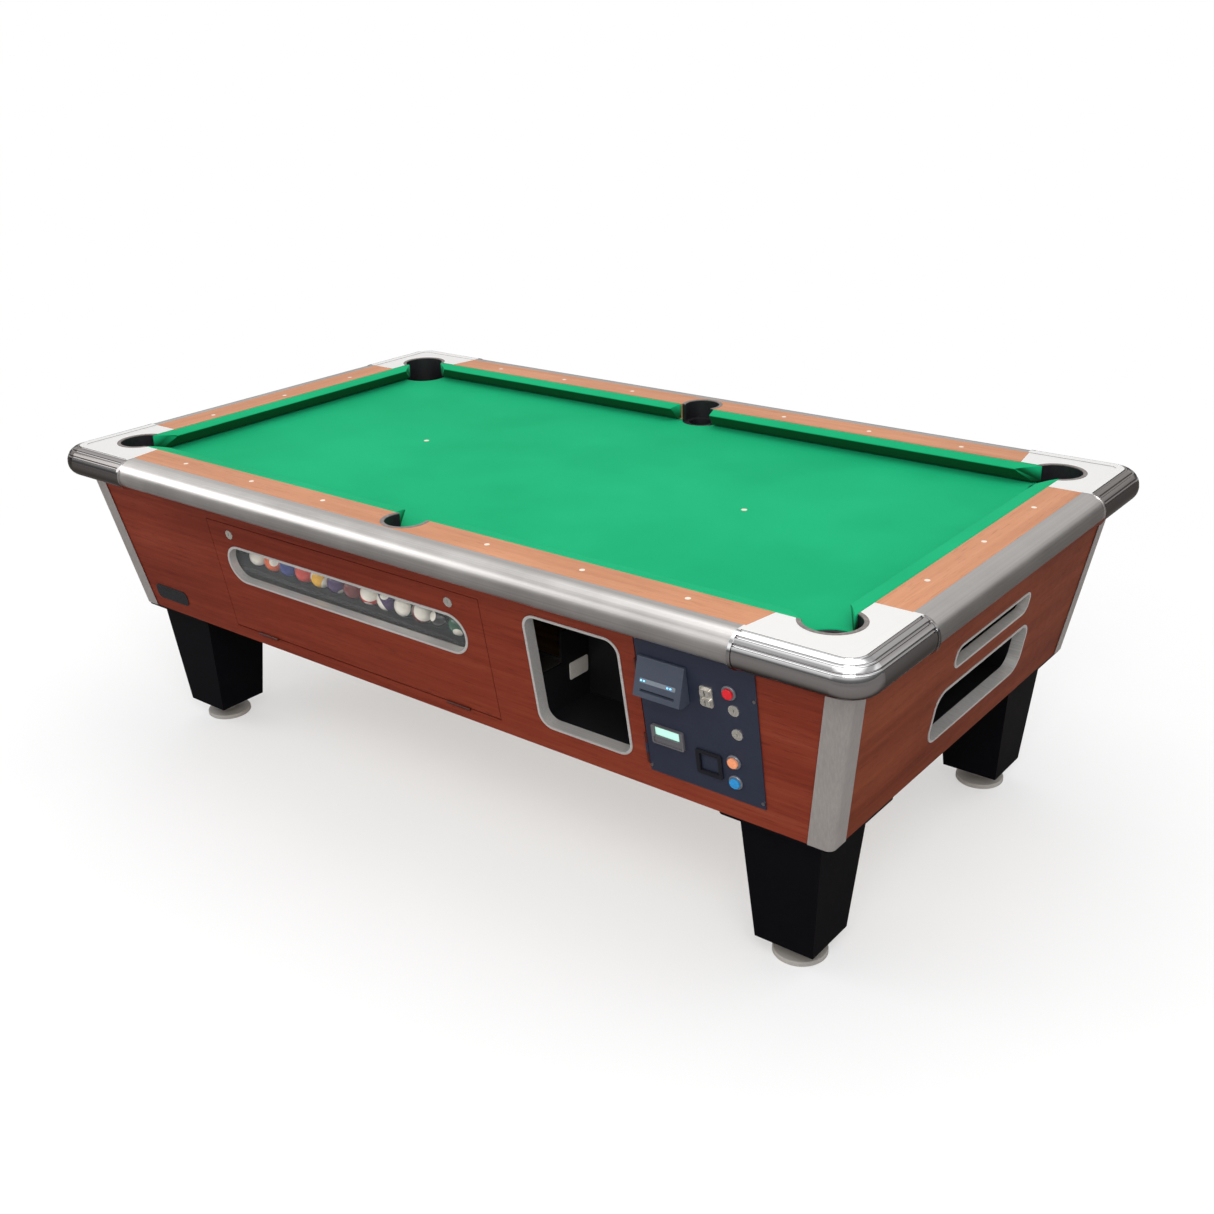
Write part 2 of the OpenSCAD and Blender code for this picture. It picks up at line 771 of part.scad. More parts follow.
// Knuckles and leaf of one half of a butt hinge with three knuckles. The pin's axis is x, the
// leaves hang along -z; side is -1 for the leaf on the jamb and 1 for the leaf on the door.
module hinge_half(side, leaf) {
    knuckles = side < 0 ? [0, 2] : [1];
    depth = 15;
    difference() {
        union() {
            for (k = knuckles) translate([k * knuckle_l + 0.3, 0, 0]) {
                rotate([0, 90, 0]) cylinder(r = knuckle_r, h = knuckle_l - 0.6);
                translate([0, side > 0 ? leaf_gap : -leaf_gap - leaf, -knuckle_r - 1.5])
                    cube([knuckle_l - 0.6, leaf, knuckle_r + 1.5]);
            }
            translate([0.3, side > 0 ? leaf_gap : -leaf_gap - leaf, -knuckle_r - depth])
                cube([3 * knuckle_l - 0.6, leaf, depth - 0.3]);
        }
        translate([-1, 0, 0]) rotate([0, 90, 0]) cylinder(r = pin_r + run_fit, h = 3 * knuckle_l + 2);
    }
}

module hinge_pin() {
    translate([0.2, 0, 0]) rotate([0, 90, 0]) cylinder(r = pin_r, h = 3 * knuckle_l - 0.4);
}

module at_door_hinges() {
    on_front() for (s = [-1, 1])
        translate([door_x + s * door_hinge_x - 1.5 * knuckle_l, door_hinge_v, hinge_out]) children();
}

module at_panel_hinges() {
    on_front() for (z = panel_hinge_z)
        translate([panel_hinge_x, up(z) + 1.5 * knuckle_l, hinge_out]) rotate([0, 0, -90]) children();
}

module door_hinge_leaves() {
    color([0.35, 0.3, 0.28]) at_door_hinges() hinge_half(1, leaf_t);
}

module panel_hinge_leaves() {
    color([0.2, 0.22, 0.28]) at_panel_hinges() hinge_half(1, leaf_t);
}

module cabinet_hinge_leaves() {
    color([0.3, 0.28, 0.28]) {
        at_door_hinges() hinge_half(-1, leaf_t);
        at_panel_hinges() hinge_half(-1, leaf_t);
        at_door_hinges() hinge_pin();
        at_panel_hinges() hinge_pin();
    }
}

// ---------------------------------------------------------------- cam locks

// Fixed barrel of a cam lock; face is the surface that its flange stands on
module lock_body(face) {
    difference() {
        union() {
            translate([0, 0, -wall_t]) cylinder(r = lock_body_r, h = wall_t + face + 1);
            translate([0, 0, face + touch]) cylinder(r = 12, h = 2);
        }
        translate([0, 0, -far / 20]) cylinder(r = lock_bore + run_fit, h = far / 10);
    }
}

// Hole that takes a lock's barrel
module lock_hole() {
    translate([0, 0, -far / 20]) cylinder(r = lock_body_r + touch, h = far / 10);
}

// Turning plug with its key slot and cam; turn is the cam's direction at rest
module lock_plug(face, turn, cam_l) {
    top = face + 2 + touch;
    difference() {
        translate([0, 0, cam_low]) cylinder(r = lock_bore, h = top - cam_low);
        translate([-0.8, -3.5, top - 6]) cube([1.6, 7, 7]);
    }
    rotate([0, 0, turn]) box([-7, -7, cam_low], [cam_l, 7, cam_low + 3]);
}

module door_lock_bodies() {
    color([0.75, 0.74, 0.72]) on_front() for (x = door_lock_x)
        translate([x, up(lock_z[0]), 0]) lock_body(0);
}

module door_lock_left() {
    color([0.6, 0.58, 0.55]) on_front() translate([door_lock_x[0], up(lock_z[0]), 0]) lock_plug(0, 0, 38);
}

module door_lock_right() {
    color([0.6, 0.58, 0.55]) on_front() translate([door_lock_x[1], up(lock_z[0]), 0]) lock_plug(0, 180, 38);
}

module panel_lock_bodies() {
    color([0.75, 0.74, 0.72]) on_front() for (i = [0, 1])
        translate([panel_lock_x[i], up(lock_z[i + 1]), 0]) lock_body(panel_face);
}

module panel_lock_upper() {
    color([0.6, 0.58, 0.55]) on_front()
        translate([panel_lock_x[0], up(lock_z[1]), 0]) lock_plug(panel_face, 90, 50);
}

module panel_lock_lower() {
    color([0.6, 0.58, 0.55]) on_front()
        translate([panel_lock_x[1], up(lock_z[2]), 0]) lock_plug(panel_face, -90, 48);
}

// ---------------------------------------------------------------- ball door and frames

module ball_door() {
    color([0.46, 0.18, 0.12]) on_front() difference() {
        box([door_x - door_w / 2, up(door_low_z), -wall_t], [door_x + door_w / 2, up(door_high_z), 0]);
        translate([window_x, up(window_z), 0]) sleeve_hole(window_l, window_h, window_h / 2 - 0.1);
        for (x = door_lock_x) translate([x, up(lock_z[0]), 0]) lock_hole();
    }
}

module window_frame() {
    color([0.72, 0.71, 0.7]) on_front() translate([window_x, up(window_z), 0])
        opening_sleeve(window_l, window_h, window_h / 2 - 0.1, wall_t);
}

module window_lens() {
    margin = 8;
    color([0.8, 0.85, 0.86, 0.4]) on_front() translate([window_x, up(window_z), 0])
        rounded_block(window_l + margin, window_h + margin, 30, -wall_t - 3, -wall_t - touch);
}

module badge_plate() {
    color([0.15, 0.15, 0.16]) on_front() translate([-932, up(406), 0]) rounded_block(134, 42, 16, touch, 2);
}

module return_frame() {
    color([0.72, 0.71, 0.7]) on_front() translate([return_x, up(return_z), 0])
        opening_sleeve(return_w, return_h, return_r, 26);
}

// Box that catches the released balls behind the ball return opening
module return_box() {
    side_x = return_w / 2 + 8;
    wall = 6;
    color([0.04, 0.04, 0.05]) difference() {
        box([return_x - side_x, -far / 2, 412], [return_x + side_x, -392, 596]);
        box([return_x - side_x + wall, -far, 418], [return_x + side_x - wall, -392 - wall, far]);
        on_front() box([-far, -far, -26.5], [far, far, far]);
        box([0, -far, tray_z[1] - 8], [return_x - side_x + wall + 1, tray_y + 38, far]);
    }
}

module foot_slot_frame() {
    color([0.72, 0.71, 0.7]) at_foot_opening(foot_slot)
        opening_sleeve(foot_slot[1], foot_slot[2], foot_slot[3], 20);
}

module cue_return_frame() {
    color([0.72, 0.71, 0.7]) at_foot_opening(cue_return)
        opening_sleeve(cue_return[1], cue_return[2], cue_return[3], 26);
}

// Box that catches the cue ball behind the foot end's lower opening
module cue_return_box() {
    wall = 6;
    side_y = 236;
    top = 556;
    color([0.04, 0.04, 0.05]) difference() {
        box([930, foot_opening_y - side_y, 405], [far, foot_opening_y + side_y, top]);
        box([930 + wall, foot_opening_y - side_y + wall, 405 + wall],
            [far + 1, foot_opening_y + side_y - wall, top - wall]);
        on_foot() box([-far, -far, -26.5], [far, far, far]);
        translate([cross_x, 0, top - 2 * wall]) cylinder(r = 36, h = 3 * wall);
    }
}

// ---------------------------------------------------------------- control panel

module control_panel() {
    flange_depth = 15;
    color([0.14, 0.16, 0.22]) on_front() difference() {
        union() {
            box([panel_left, up(panel_low_z), panel_face - panel_t],
                [panel_right, up(panel_high_z), panel_face]);
            box([panel_left - 1.2, up(panel_low_z + 14), -flange_depth],
                [panel_left + 1, up(panel_high_z - 14), -0.3]);
            box([panel_left, up(panel_low_z + 14), -1], [panel_left + 1, up(panel_high_z - 14), panel_face]);
        }
        translate([acceptor_x, up(acceptor_z), 0]) cube([90, 66, 20], center = true);
        translate([display_x, up(display_z), 0]) cube([64, 32, 20], center = true);
        translate([coin_x, up(coin_z), 0]) cube([20, 34, 20], center = true);
        translate([cup_x, up(cup_z), 0]) cube([50, 48, 20], center = true);
        for (b = button_spots) translate([b[0], up(b[1]), -10]) cylinder(r = 13.2, h = 20);
        for (i = [0, 1]) translate([panel_lock_x[i], up(lock_z[i + 1]), 0]) lock_hole();
    }
}

// Bill acceptor: a wedge-shaped snout over the slot, with its validator behind the panel
module bill_acceptor() {
    snout_w = 110;
    snout_h = 82;
    top_out = 6;
    low_out = 36;
    base = panel_face + touch;
    color([0.25, 0.29, 0.36]) on_front() translate([acceptor_x, up(acceptor_z), 0]) {
        difference() {
            translate([-snout_w / 2, 0, 0]) rotate([90, 0, 90]) linear_extrude(snout_w)
                polygon([[-snout_h / 2, base], [-snout_h / 2, base + low_out - 12],
                         [-snout_h / 2 + 8, base + low_out],
                         [snout_h / 2, base + top_out], [snout_h / 2, base]]);
            box([-40, -snout_h / 2 + 18, base + 12], [40, -snout_h / 2 + 23, far / 10]);
        }
        box([-44, -32, -95], [44, 32, base + 1]);
    }
}

module display_bezel() {
    base = panel_face + touch;
    color([0.25, 0.28, 0.34]) on_front() translate([display_x, up(display_z), 0]) difference() {
        union() {
            rounded_block(76, 44, 4, base, base + 6);
            box([-31, -15, -12], [31, 15, base + 1]);
        }
        box([-30, -2, base + 1], [30, 20, base + 20]);
        box([-34, -19, base + 3.5], [34, -5, base + 20]);
    }
}

module display_screen() {
    base = panel_face + touch;
    color([0.67, 0.86, 0.8]) on_front() translate([display_x, up(display_z), 0])
        box([-29.5, -1.5, base + 1 + touch], [29.5, 19.5, base + 3]);
}

module coin_entry() {
    base = panel_face + touch;
    color([0.6, 0.6, 0.6]) on_front() translate([coin_x, up(coin_z), 0]) difference() {
        union() {
            rounded_block(28, 46, 5, base, base + 3);
            for (s = [-1, 1]) translate([0, s * 10.5, 0]) rounded_block(22, 15, 4, base, base + 8);
            box([-9.5, -16.5, -14], [9.5, 16.5, base + 1]);
        }
        for (s = [-1, 1]) translate([0, s * 10.5, 0]) box([-1.4, -6, -15], [1.4, 6, far / 10]);
    }
}

// Recessed cup where rejected coins drop, open to the front
module coin_return_cup() {
    base = panel_face + touch;
    color([0.1, 0.11, 0.15]) on_front() translate([cup_x, up(cup_z), 0]) difference() {
        union() {
            rounded_block(60, 58, 5, base, base + 4);
            box([-24.5, -23.5, -40], [24.5, 23.5, base + 1]);
        }
        box([-21.5, -20.5, -37], [21.5, 20.5, far / 10]);
        for (s = [-1, 1]) translate([s * 20, flap_pin_y, flap_pin_z]) rotate([0, 90, 0])
            cylinder(r = flap_pin_r + run_fit, h = 6, center = true);
    }
}

// Hinged flap that closes the coin return cup and swings inwards when pushed
module coin_return_flap() {
    color([0.13, 0.14, 0.19]) on_front() translate([cup_x, up(cup_z), 0]) {
        box([-20.8, -19.5, flap_pin_z - 1.2], [20.8, flap_pin_y, flap_pin_z + 1.2]);
        translate([0, flap_pin_y, flap_pin_z]) rotate([0, 90, 0]) {
            cylinder(r = 2.2, h = 41.6, center = true);
            cylinder(r = flap_pin_r, h = 45, center = true);
        }
    }
}

module push_button(spot) {
    base = panel_face + touch;
    on_front() translate([spot[0], up(spot[1]), 0]) rotate_extrude()
        polygon(concat([[0, -12], [9, -12], [9, base - 1], [button_r - run_fit, base - 1]],
                       arc(button_r - run_fit - 2, base + 7, 2, 0, 80, 5), [[0, base + 10]]));
}

module button_red() color([0.8, 0.13, 0.14]) push_button(button_spots[0]);
module button_orange() color([0.92, 0.58, 0.42]) push_button(button_spots[1]);
module button_blue() color([0.15, 0.5, 0.72]) push_button(button_spots[2]);

module button_collars() {
    base = panel_face + touch;
    color([0.3, 0.32, 0.38]) on_front() for (b = button_spots) translate([b[0], up(b[1]), 0])
        rotate_extrude() polygon(concat(
            [[button_r, -14], [13, -14], [13, base], [15.5, base], [15.5, base + 2]],
            arc(13.5, base + 2, 2, 0, 90, 4), [[button_r, base + 4]]));
}

module panel_screws() {
    head_r = 3.4;
    color([0.62, 0.62, 0.63]) on_front() for (x = [panel_left + 4.4, panel_right - 5], z = [415, 649, 717])
        translate([x, up(z), panel_face + touch]) difference() {
            cylinder(r = head_r, h = 2);
            translate([-head_r, -0.5, 1.1]) cube([2 * head_r, 1, 2]);
        }
}

// ---------------------------------------------------------------- ball path

// Chutes under the pockets, gullies along both sides, and the runs that bring the balls to the tray
module ball_runs() {
    chute_y = [half_w + 74, gully_y + run_half];
    chute_wall = 18;
    corner_chute_in = 2 * (corner_r - rim_w) - 2;
    side_chute_in = 86;
    color([0.5, 0.42, 0.32]) {
        four_corners() ball_run([cross_x, chute_y[0], chute_z[0]], [cross_x, chute_y[1], chute_z[1]],
                                corner_chute_in, chute_wall);
        both_sides() ball_run([0, chute_y[0], chute_z[0]], [0, chute_y[1], chute_z[1]],
                              side_chute_in, chute_wall);
        both_sides() ball_run([-1085, gully_y, gully_z[0]], [cross_x - 38, gully_y, gully_z[1]]);
        both_sides() ball_run([cross_x, gully_y + 34, cross_z[0]], [cross_x, run_half + 2, cross_z[1]]);
        difference() {
            ball_run([cross_x + 34, 0, return_run_z[0]], [feeder_x + 34, 0, return_run_z[1]], run_inside, 12);
            translate([cross_x, 0, return_run_z[0] - 10]) cylinder(r = cue_hole_r, h = 20);
        }
        ball_run([feeder_x, 30, feeder_z[0]], [feeder_x, tray_y + run_half + 1, feeder_z[1]], run_inside, 11);
    }
}

// Sloping tray behind the window where the object balls wait
module ball_tray() {
    post_in = run_inside / 2 + 0.5;
    post_t = 5;
    color([0.45, 0.36, 0.27]) difference() {
        union() {
            ball_run([tray_start_x, tray_y, tray_z[0]], [tray_end_x, tray_y, tray_z[1]], run_inside, 6);
            for (s = [0, 1]) translate([gate_x, tray_y, tray_floor(gate_x)]) mirror([0, s, 0])
                box([-14, post_in, -2], [14, post_in + post_t, gate_pin_up + 8]);
        }
        translate([gate_x, tray_y, tray_floor(gate_x) + gate_pin_up]) rotate([90, 0, 0])
            cylinder(r = gate_pin_r + run_fit, h = 2 * run_inside, center = true);
    }
}

// Gate that holds the balls back until the table is paid for
module ball_gate() {
    color([0.7, 0.7, 0.72]) translate([gate_x, tray_y, tray_floor(gate_x) + gate_pin_up]) {
        rotate([90, 0, 0]) cylinder(r = gate_pin_r, h = run_inside + 16, center = true);
        rotate([90, 0, 0]) cylinder(r = gate_pin_r + 3, h = run_inside - 6, center = true);
        box([-1.5, -run_inside / 2 + 3, -gate_pin_up + 6], [1.5, run_inside / 2 - 3, 0]);
    }
}

module pool_balls() {
    pitch = ball_d + 0.4;
    lead_x = gate_x - 4 - ball_d / 2;
    for (i = [0:ball_count - 1]) {
        x = lead_x - i * pitch;
        color(ball_colours[i % len(ball_colours)])
            translate([x, tray_y, tray_floor(x) + ball_d / 2 + 0.3]) sphere(d = ball_d);
    }
}

// Drawer-like steel box that collects the coins and notes
module cash_box() {
    low = [690, -536, 372];
    size = [178, 176, 60];
    sheet_t = 2;
    color([0.5, 0.5, 0.52]) difference() {
        translate(low) cube(size);
        translate(low + [sheet_t, sheet_t, sheet_t]) cube(size - [2 * sheet_t, 2 * sheet_t, 0]);
    }
}

// ---------------------------------------------------------------- nodes

cabinet_front();
cabinet_back();
cabinet_head();
cabinet_foot();
cabinet_floor();
corner_trims();
slate_frame();
bed_slate();
bed_cloth();
side_rails();
end_rails();
rail_trims();
corner_castings();
corner_pocket_liners();
side_pocket_liners();
cushion_rubbers();
cushion_cloths();
rail_sights();
assembly_bolts();
legs();
leg_plates();
leveller_front_head();
leveller_front_foot();
leveller_back_head();
leveller_back_foot();
ball_door();
window_frame();
window_lens();
door_hinge_leaves();
panel_hinge_leaves();
cabinet_hinge_leaves();
door_lock_bodies();
door_lock_left();
door_lock_right();
badge_plate();
return_frame();
return_box();
foot_slot_frame();
cue_return_frame();
cue_return_box();
control_panel();
bill_acceptor();
display_bezel();
display_screen();
coin_entry();
coin_return_cup();
coin_return_flap();
button_red();
button_orange();
button_blue();
button_collars();
panel_lock_bodies();
panel_lock_upper();
panel_lock_lower();
panel_screws();
ball_runs();
ball_tray();
ball_gate();
pool_balls();
cash_box();
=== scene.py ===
# Looks of a coin-operated pool table: its materials, cloth, cushions and balls, with a plain studio.
# Lengths are metres, in the frame of the CAD model.

import math
import random

import bmesh
import bpy
from mathutils import Matrix, Vector


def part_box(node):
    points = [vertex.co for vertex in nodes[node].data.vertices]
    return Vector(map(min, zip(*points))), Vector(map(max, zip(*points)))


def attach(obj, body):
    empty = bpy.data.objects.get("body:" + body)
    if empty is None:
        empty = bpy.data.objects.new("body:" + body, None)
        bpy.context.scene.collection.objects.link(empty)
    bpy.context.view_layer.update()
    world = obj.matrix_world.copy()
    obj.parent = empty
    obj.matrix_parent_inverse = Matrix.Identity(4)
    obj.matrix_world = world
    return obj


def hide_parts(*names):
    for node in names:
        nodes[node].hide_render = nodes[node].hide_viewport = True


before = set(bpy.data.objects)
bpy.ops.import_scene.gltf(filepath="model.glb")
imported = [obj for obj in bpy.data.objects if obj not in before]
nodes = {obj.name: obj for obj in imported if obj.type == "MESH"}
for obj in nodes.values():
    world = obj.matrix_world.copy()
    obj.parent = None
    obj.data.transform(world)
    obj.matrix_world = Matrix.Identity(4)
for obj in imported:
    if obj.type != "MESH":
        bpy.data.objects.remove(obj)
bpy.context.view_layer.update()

MM = 0.001
LEAN = math.radians(9.37)        # outward lean of the cabinet walls
CUSHION_W = 39 * MM              # from a cushion's nose to its back
CORNER_POCKET_R = 65 * MM        # outside of the pocket's liner
SIDE_POCKET_R = 56 * MM
CORNER_MOUTH = 115 * MM          # between the two cushion noses at a corner pocket
SIDE_MOUTH = 128 * MM            # and at a side pocket
BALL_R = 57.15 / 2 * MM
END_X = 1.1                      # pieces beyond this, lengthwise, belong to the ends of the table

RAIL_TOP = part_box("side_rails")[1].z
BED_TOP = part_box("bed_cloth")[1].z


# ---------------------------------------------------------------- materials: tools

def rgb(red, green, blue):
    """Linear colour from screen values of 0 to 255."""
    def linear(value):
        value = value / 255
        return value / 12.92 if value <= 0.04045 else ((value + 0.055) / 1.055) ** 2.4
    return linear(red), linear(green), linear(blue), 1.0


def shade_of(colour, share):
    """The colour with its brightness cut to a share."""
    return tuple(share * channel for channel in colour[:3]) + (1.0,)


WHITE = (1.0, 1.0, 1.0, 1.0)
PAINTED_DIM_REFLECTION = rgb(104, 98, 95)      # painted reflection: base colour of polished metal where it would mirror the room's dim side
DIM_BEHIND = (0.3, 0.95, 0)      # direction of that side, for the painted reflection on the rails' trims
DIM_FAR_LEFT = (-0.7, 0.7, 0)    # and for the corner castings


class Look:
    """A node material while it is being built. Its patterns use the piece's own coordinates."""

    def __init__(self, name, roughness=0.5, metallic=0.0):
        self.material = bpy.data.materials.new(name)
        self.material.use_nodes = True
        self.tree = self.material.node_tree
        self.shader = self.tree.nodes["Principled BSDF"]
        self.set("Roughness", roughness)
        self.set("Metallic", metallic)
        coordinates = self.node("ShaderNodeTexCoord")
        self.place = coordinates.outputs["Object"]
        self.normal = coordinates.outputs["Normal"]
        self.mirrored = coordinates.outputs["Reflection"]

    def node(self, kind, **settings):
        """Adds a shader node with these settings."""
        made = self.tree.nodes.new(kind)
        for name, value in settings.items():
            setattr(made, name, value)
        return made

    def plug(self, value, socket):
        """Puts a number, a colour or another node's output into a socket."""
        if isinstance(value, bpy.types.NodeSocket):
            self.tree.links.new(value, socket)
        else:
            socket.default_value = value

    def set(self, name, value):
        """Sets an input of the surface shader."""
        self.plug(value, self.shader.inputs[name])

    def math(self, operation, *values, clamp=False):
        made = self.node("ShaderNodeMath", operation=operation, use_clamp=clamp)
        for value, socket in zip(values, made.inputs):
            self.plug(value, socket)
        return made.outputs[0]

    def axis(self, vector, name):
        made = self.node("ShaderNodeSeparateXYZ")
        self.plug(vector, made.inputs[0])
        return made.outputs[name]

    def step(self, value, low, high):
        """0 below low and 1 above high."""
        made = self.node("ShaderNodeMapRange", interpolation_type="SMOOTHSTEP")
        self.plug(value, made.inputs["Value"])
        made.inputs["From Min"].default_value = low
        made.inputs["From Max"].default_value = high
        return made.outputs["Result"]

    def span(self, value, low, high):
        """Maps 0 to 1 onto low to high."""
        made = self.node("ShaderNodeMapRange")
        self.plug(value, made.inputs["Value"])
        made.inputs["To Min"].default_value = low
        made.inputs["To Max"].default_value = high
        return made.outputs["Result"]

    def mix(self, share, first, second, blend_type="MIX"):
        """The first colour at share 0, the second at share 1."""
        made = self.node("ShaderNodeMix", data_type="RGBA", blend_type=blend_type)
        self.plug(share, made.inputs[0])
        self.plug(first, made.inputs[6])
        self.plug(second, made.inputs[7])
        return made.outputs[2]

    def stretched(self, stretch):
        made = self.node("ShaderNodeMapping")
        self.plug(self.place, made.inputs["Vector"])
        made.inputs["Scale"].default_value = stretch
        return made.outputs[0]

    def noise(self, scale, detail=3.0, roughness=0.55, vector=None):
        made = self.node("ShaderNodeTexNoise")
        self.plug(vector or self.place, made.inputs["Vector"])
        made.inputs["Scale"].default_value = scale
        made.inputs["Detail"].default_value = detail
        made.inputs["Roughness"].default_value = roughness
        return made.outputs[0]

    def wave(self, scale, direction, distortion=0.0, detail=2.0):
        made = self.node("ShaderNodeTexWave", bands_direction=direction)
        self.plug(self.place, made.inputs["Vector"])
        made.inputs["Scale"].default_value = scale
        made.inputs["Distortion"].default_value = distortion
        made.inputs["Detail"].default_value = detail
        return made.outputs["Fac"]

    def ramp(self, value, *stops):
        """Colour ramp with stops of (place, colour)."""
        made = self.node("ShaderNodeValToRGB")
        self.plug(value, made.inputs[0])
        elements = made.color_ramp.elements
        while len(elements) < len(stops):
            elements.new(0.5)
        for element, (place, colour) in zip(elements, stops):
            element.position = place
            element.color = colour
        return made.outputs[0]

    def hollows(self, reach, low, high):
        """1 in the corners and hollows of the piece itself, 0 on its open faces."""
        shade = self.node("ShaderNodeAmbientOcclusion", samples=8, only_local=True)
        shade.inputs["Distance"].default_value = reach
        return self.step(self.math("SUBTRACT", 1.0, shade.outputs["AO"]), low, high)

    def bump(self, height, strength, distance):
        made = self.node("ShaderNodeBump")
        made.inputs["Strength"].default_value = strength
        made.inputs["Distance"].default_value = distance
        self.plug(height, made.inputs["Height"])
        self.set("Normal", made.outputs[0])

    def along_grain(self, grain, squeeze):
        """Coordinates squeezed along the grain: x, y, z, or "ends" for x with y at the table's ends."""
        if grain == "z":
            return self.stretched((1, 1, squeeze))
        along_x = self.stretched((squeeze, 1, 1))
        along_y = self.stretched((1, squeeze, 1))
        if grain == "x":
            return along_x
        if grain == "y":
            return along_y
        reach = self.math("ABSOLUTE", self.axis(self.place, "X"))
        made = self.node("ShaderNodeMix", data_type="VECTOR")
        self.plug(self.math("GREATER_THAN", reach, END_X), made.inputs[0])
        self.plug(along_x, made.inputs[4])
        self.plug(along_y, made.inputs[5])
        return made.outputs[1]


# ---------------------------------------------------------------- materials: wood and cloth

def woodgrain(name, dark, middle, light, pore, grain, figure=9.0, roughness=0.34):
    """Printed woodgrain laminate: long figure, fine streaks and short dark pores."""
    look = Look(name)
    figured = look.noise(figure, 5, 0.6, look.along_grain(grain, 0.07))
    streaks = look.noise(120, 4, 0.65, look.along_grain(grain, 0.03))
    pores = look.noise(420, 2, 0.5, look.along_grain(grain, 0.05))
    tone = look.math("ADD", look.math("MULTIPLY", figured, 0.6), look.math("MULTIPLY", streaks, 0.4))
    colour = look.ramp(tone, (0.3, dark), (0.5, middle), (0.74, light))
    colour = look.mix(look.math("MULTIPLY", look.step(pores, 0.6, 0.7), 0.45), colour, pore)
    clouds = look.span(look.noise(1.7, 2), 0.86, 1.14)
    colour = look.mix(1.0, colour, clouds, "MULTIPLY")
    look.set("Base Color", colour)
    look.set("Roughness", look.span(look.noise(35, 4), roughness - 0.06, roughness + 0.1))
    look.set("Specular IOR Level", 0.13)
    look.bump(look.math("SUBTRACT", streaks, look.step(pores, 0.6, 0.7)), 0.18, 0.15 * MM)
    return look.material


def plywood(name):
    """Bare sheet timber with its grain along x and its plies stacked in z."""
    look = Look(name)
    grain = look.noise(26, 5, 0.6, look.along_grain("x", 0.1))
    plies = look.wave(210, "Z", 0.8)
    colour = look.ramp(grain, (0.3, rgb(150, 118, 80)), (0.7, rgb(196, 164, 120)))
    look.set("Base Color", look.mix(look.math("MULTIPLY", plies, 0.25), colour, rgb(112, 80, 50)))
    look.set("Roughness", look.span(grain, 0.6, 0.8))
    look.bump(grain, 0.3, 0.3 * MM)
    return look.material


def wool_cloth(name, deep, bright, shaded=None):
    """Worsted billiard cloth: a fine twill under a short nap, with faint chalk and play marks.
    Where it turns under a cushion's nose it takes the shaded colour, a painted shade that is darkest on
    faces pointing down."""
    look = Look(name, roughness=0.95)
    weft = look.wave(520, "X", 0.4, 1)
    warp = look.wave(520, "Y", 0.4, 1)
    weave = look.math("MULTIPLY", weft, warp)
    nap = look.noise(1500, 4, 0.7)
    clouds = look.noise(3.2, 3, 0.5)
    tone = look.math("ADD", look.math("MULTIPLY", nap, 0.5), look.math("MULTIPLY", clouds, 0.5))
    colour = look.ramp(tone, (0.34, deep), (0.66, bright))
    chalk = look.math("MULTIPLY", look.step(look.noise(46, 6, 0.75), 0.66, 0.78), 0.1)
    colour = look.mix(chalk, colour, rgb(150, 206, 186))
    if shaded:
        # painted shade: the cloth darkens as its faces turn downwards
        upward = look.step(look.axis(look.normal, "Z"), -0.4, 0.5)
        colour = look.mix(upward, shaded, colour)
    look.set("Base Color", colour)
    look.set("Sheen Weight", 0.18)
    look.set("Sheen Roughness", 0.5)
    look.set("Sheen Tint", bright)
    look.set("Specular IOR Level", 0.15)
    look.bump(look.math("ADD", look.math("MULTIPLY", weave, 0.5), nap), 0.35, 0.25 * MM)
    return look.material


# ---------------------------------------------------------------- materials: metal

def dim_side(look, direction):
    """Mask for a painted reflection: 1 where a surface mirrors the dim part of the room that lies that way,
    below its ceiling.
    """
    facing = look.node("ShaderNodeVectorMath", operation="DOT_PRODUCT")
    look.plug(look.mirrored, facing.inputs[0])
    facing.inputs[1].default_value = direction
    low_down = look.math("SUBTRACT", 1.0, look.step(look.axis(look.mirrored, "Z"), 0.45, 0.75))
    return look.math("MULTIPLY", look.step(facing.outputs["Value"], -0.2, 0.5), low_down)


def brushed(name, dark, light, grain, roughness=0.3, metallic=1.0, dim=0.0):
    """Satin metal with fine brush lines along its grain, and smudges.
    dim is how far its base colour darkens, as a painted reflection, where it mirrors the room's back."""
    look = Look(name, metallic=metallic)
    lines = look.noise(340, 3, 0.6, look.along_grain(grain, 0.002))
    smudges = look.noise(7, 4, 0.6)
    tone = look.math("ADD", look.math("MULTIPLY", lines, 0.6), look.math("MULTIPLY", smudges, 0.4))
    colour = look.ramp(tone, (0.3, dark), (0.7, light))
    # painted reflection: the base colour dims where the metal faces the room's back
    if dim:
        share = look.math("MULTIPLY", dim_side(look, DIM_BEHIND), dim)
        colour = look.mix(share, colour, PAINTED_DIM_REFLECTION)
    look.set("Base Color", colour)
    look.set("Roughness", look.span(smudges, roughness - 0.05, roughness + 0.12))
    return look.material


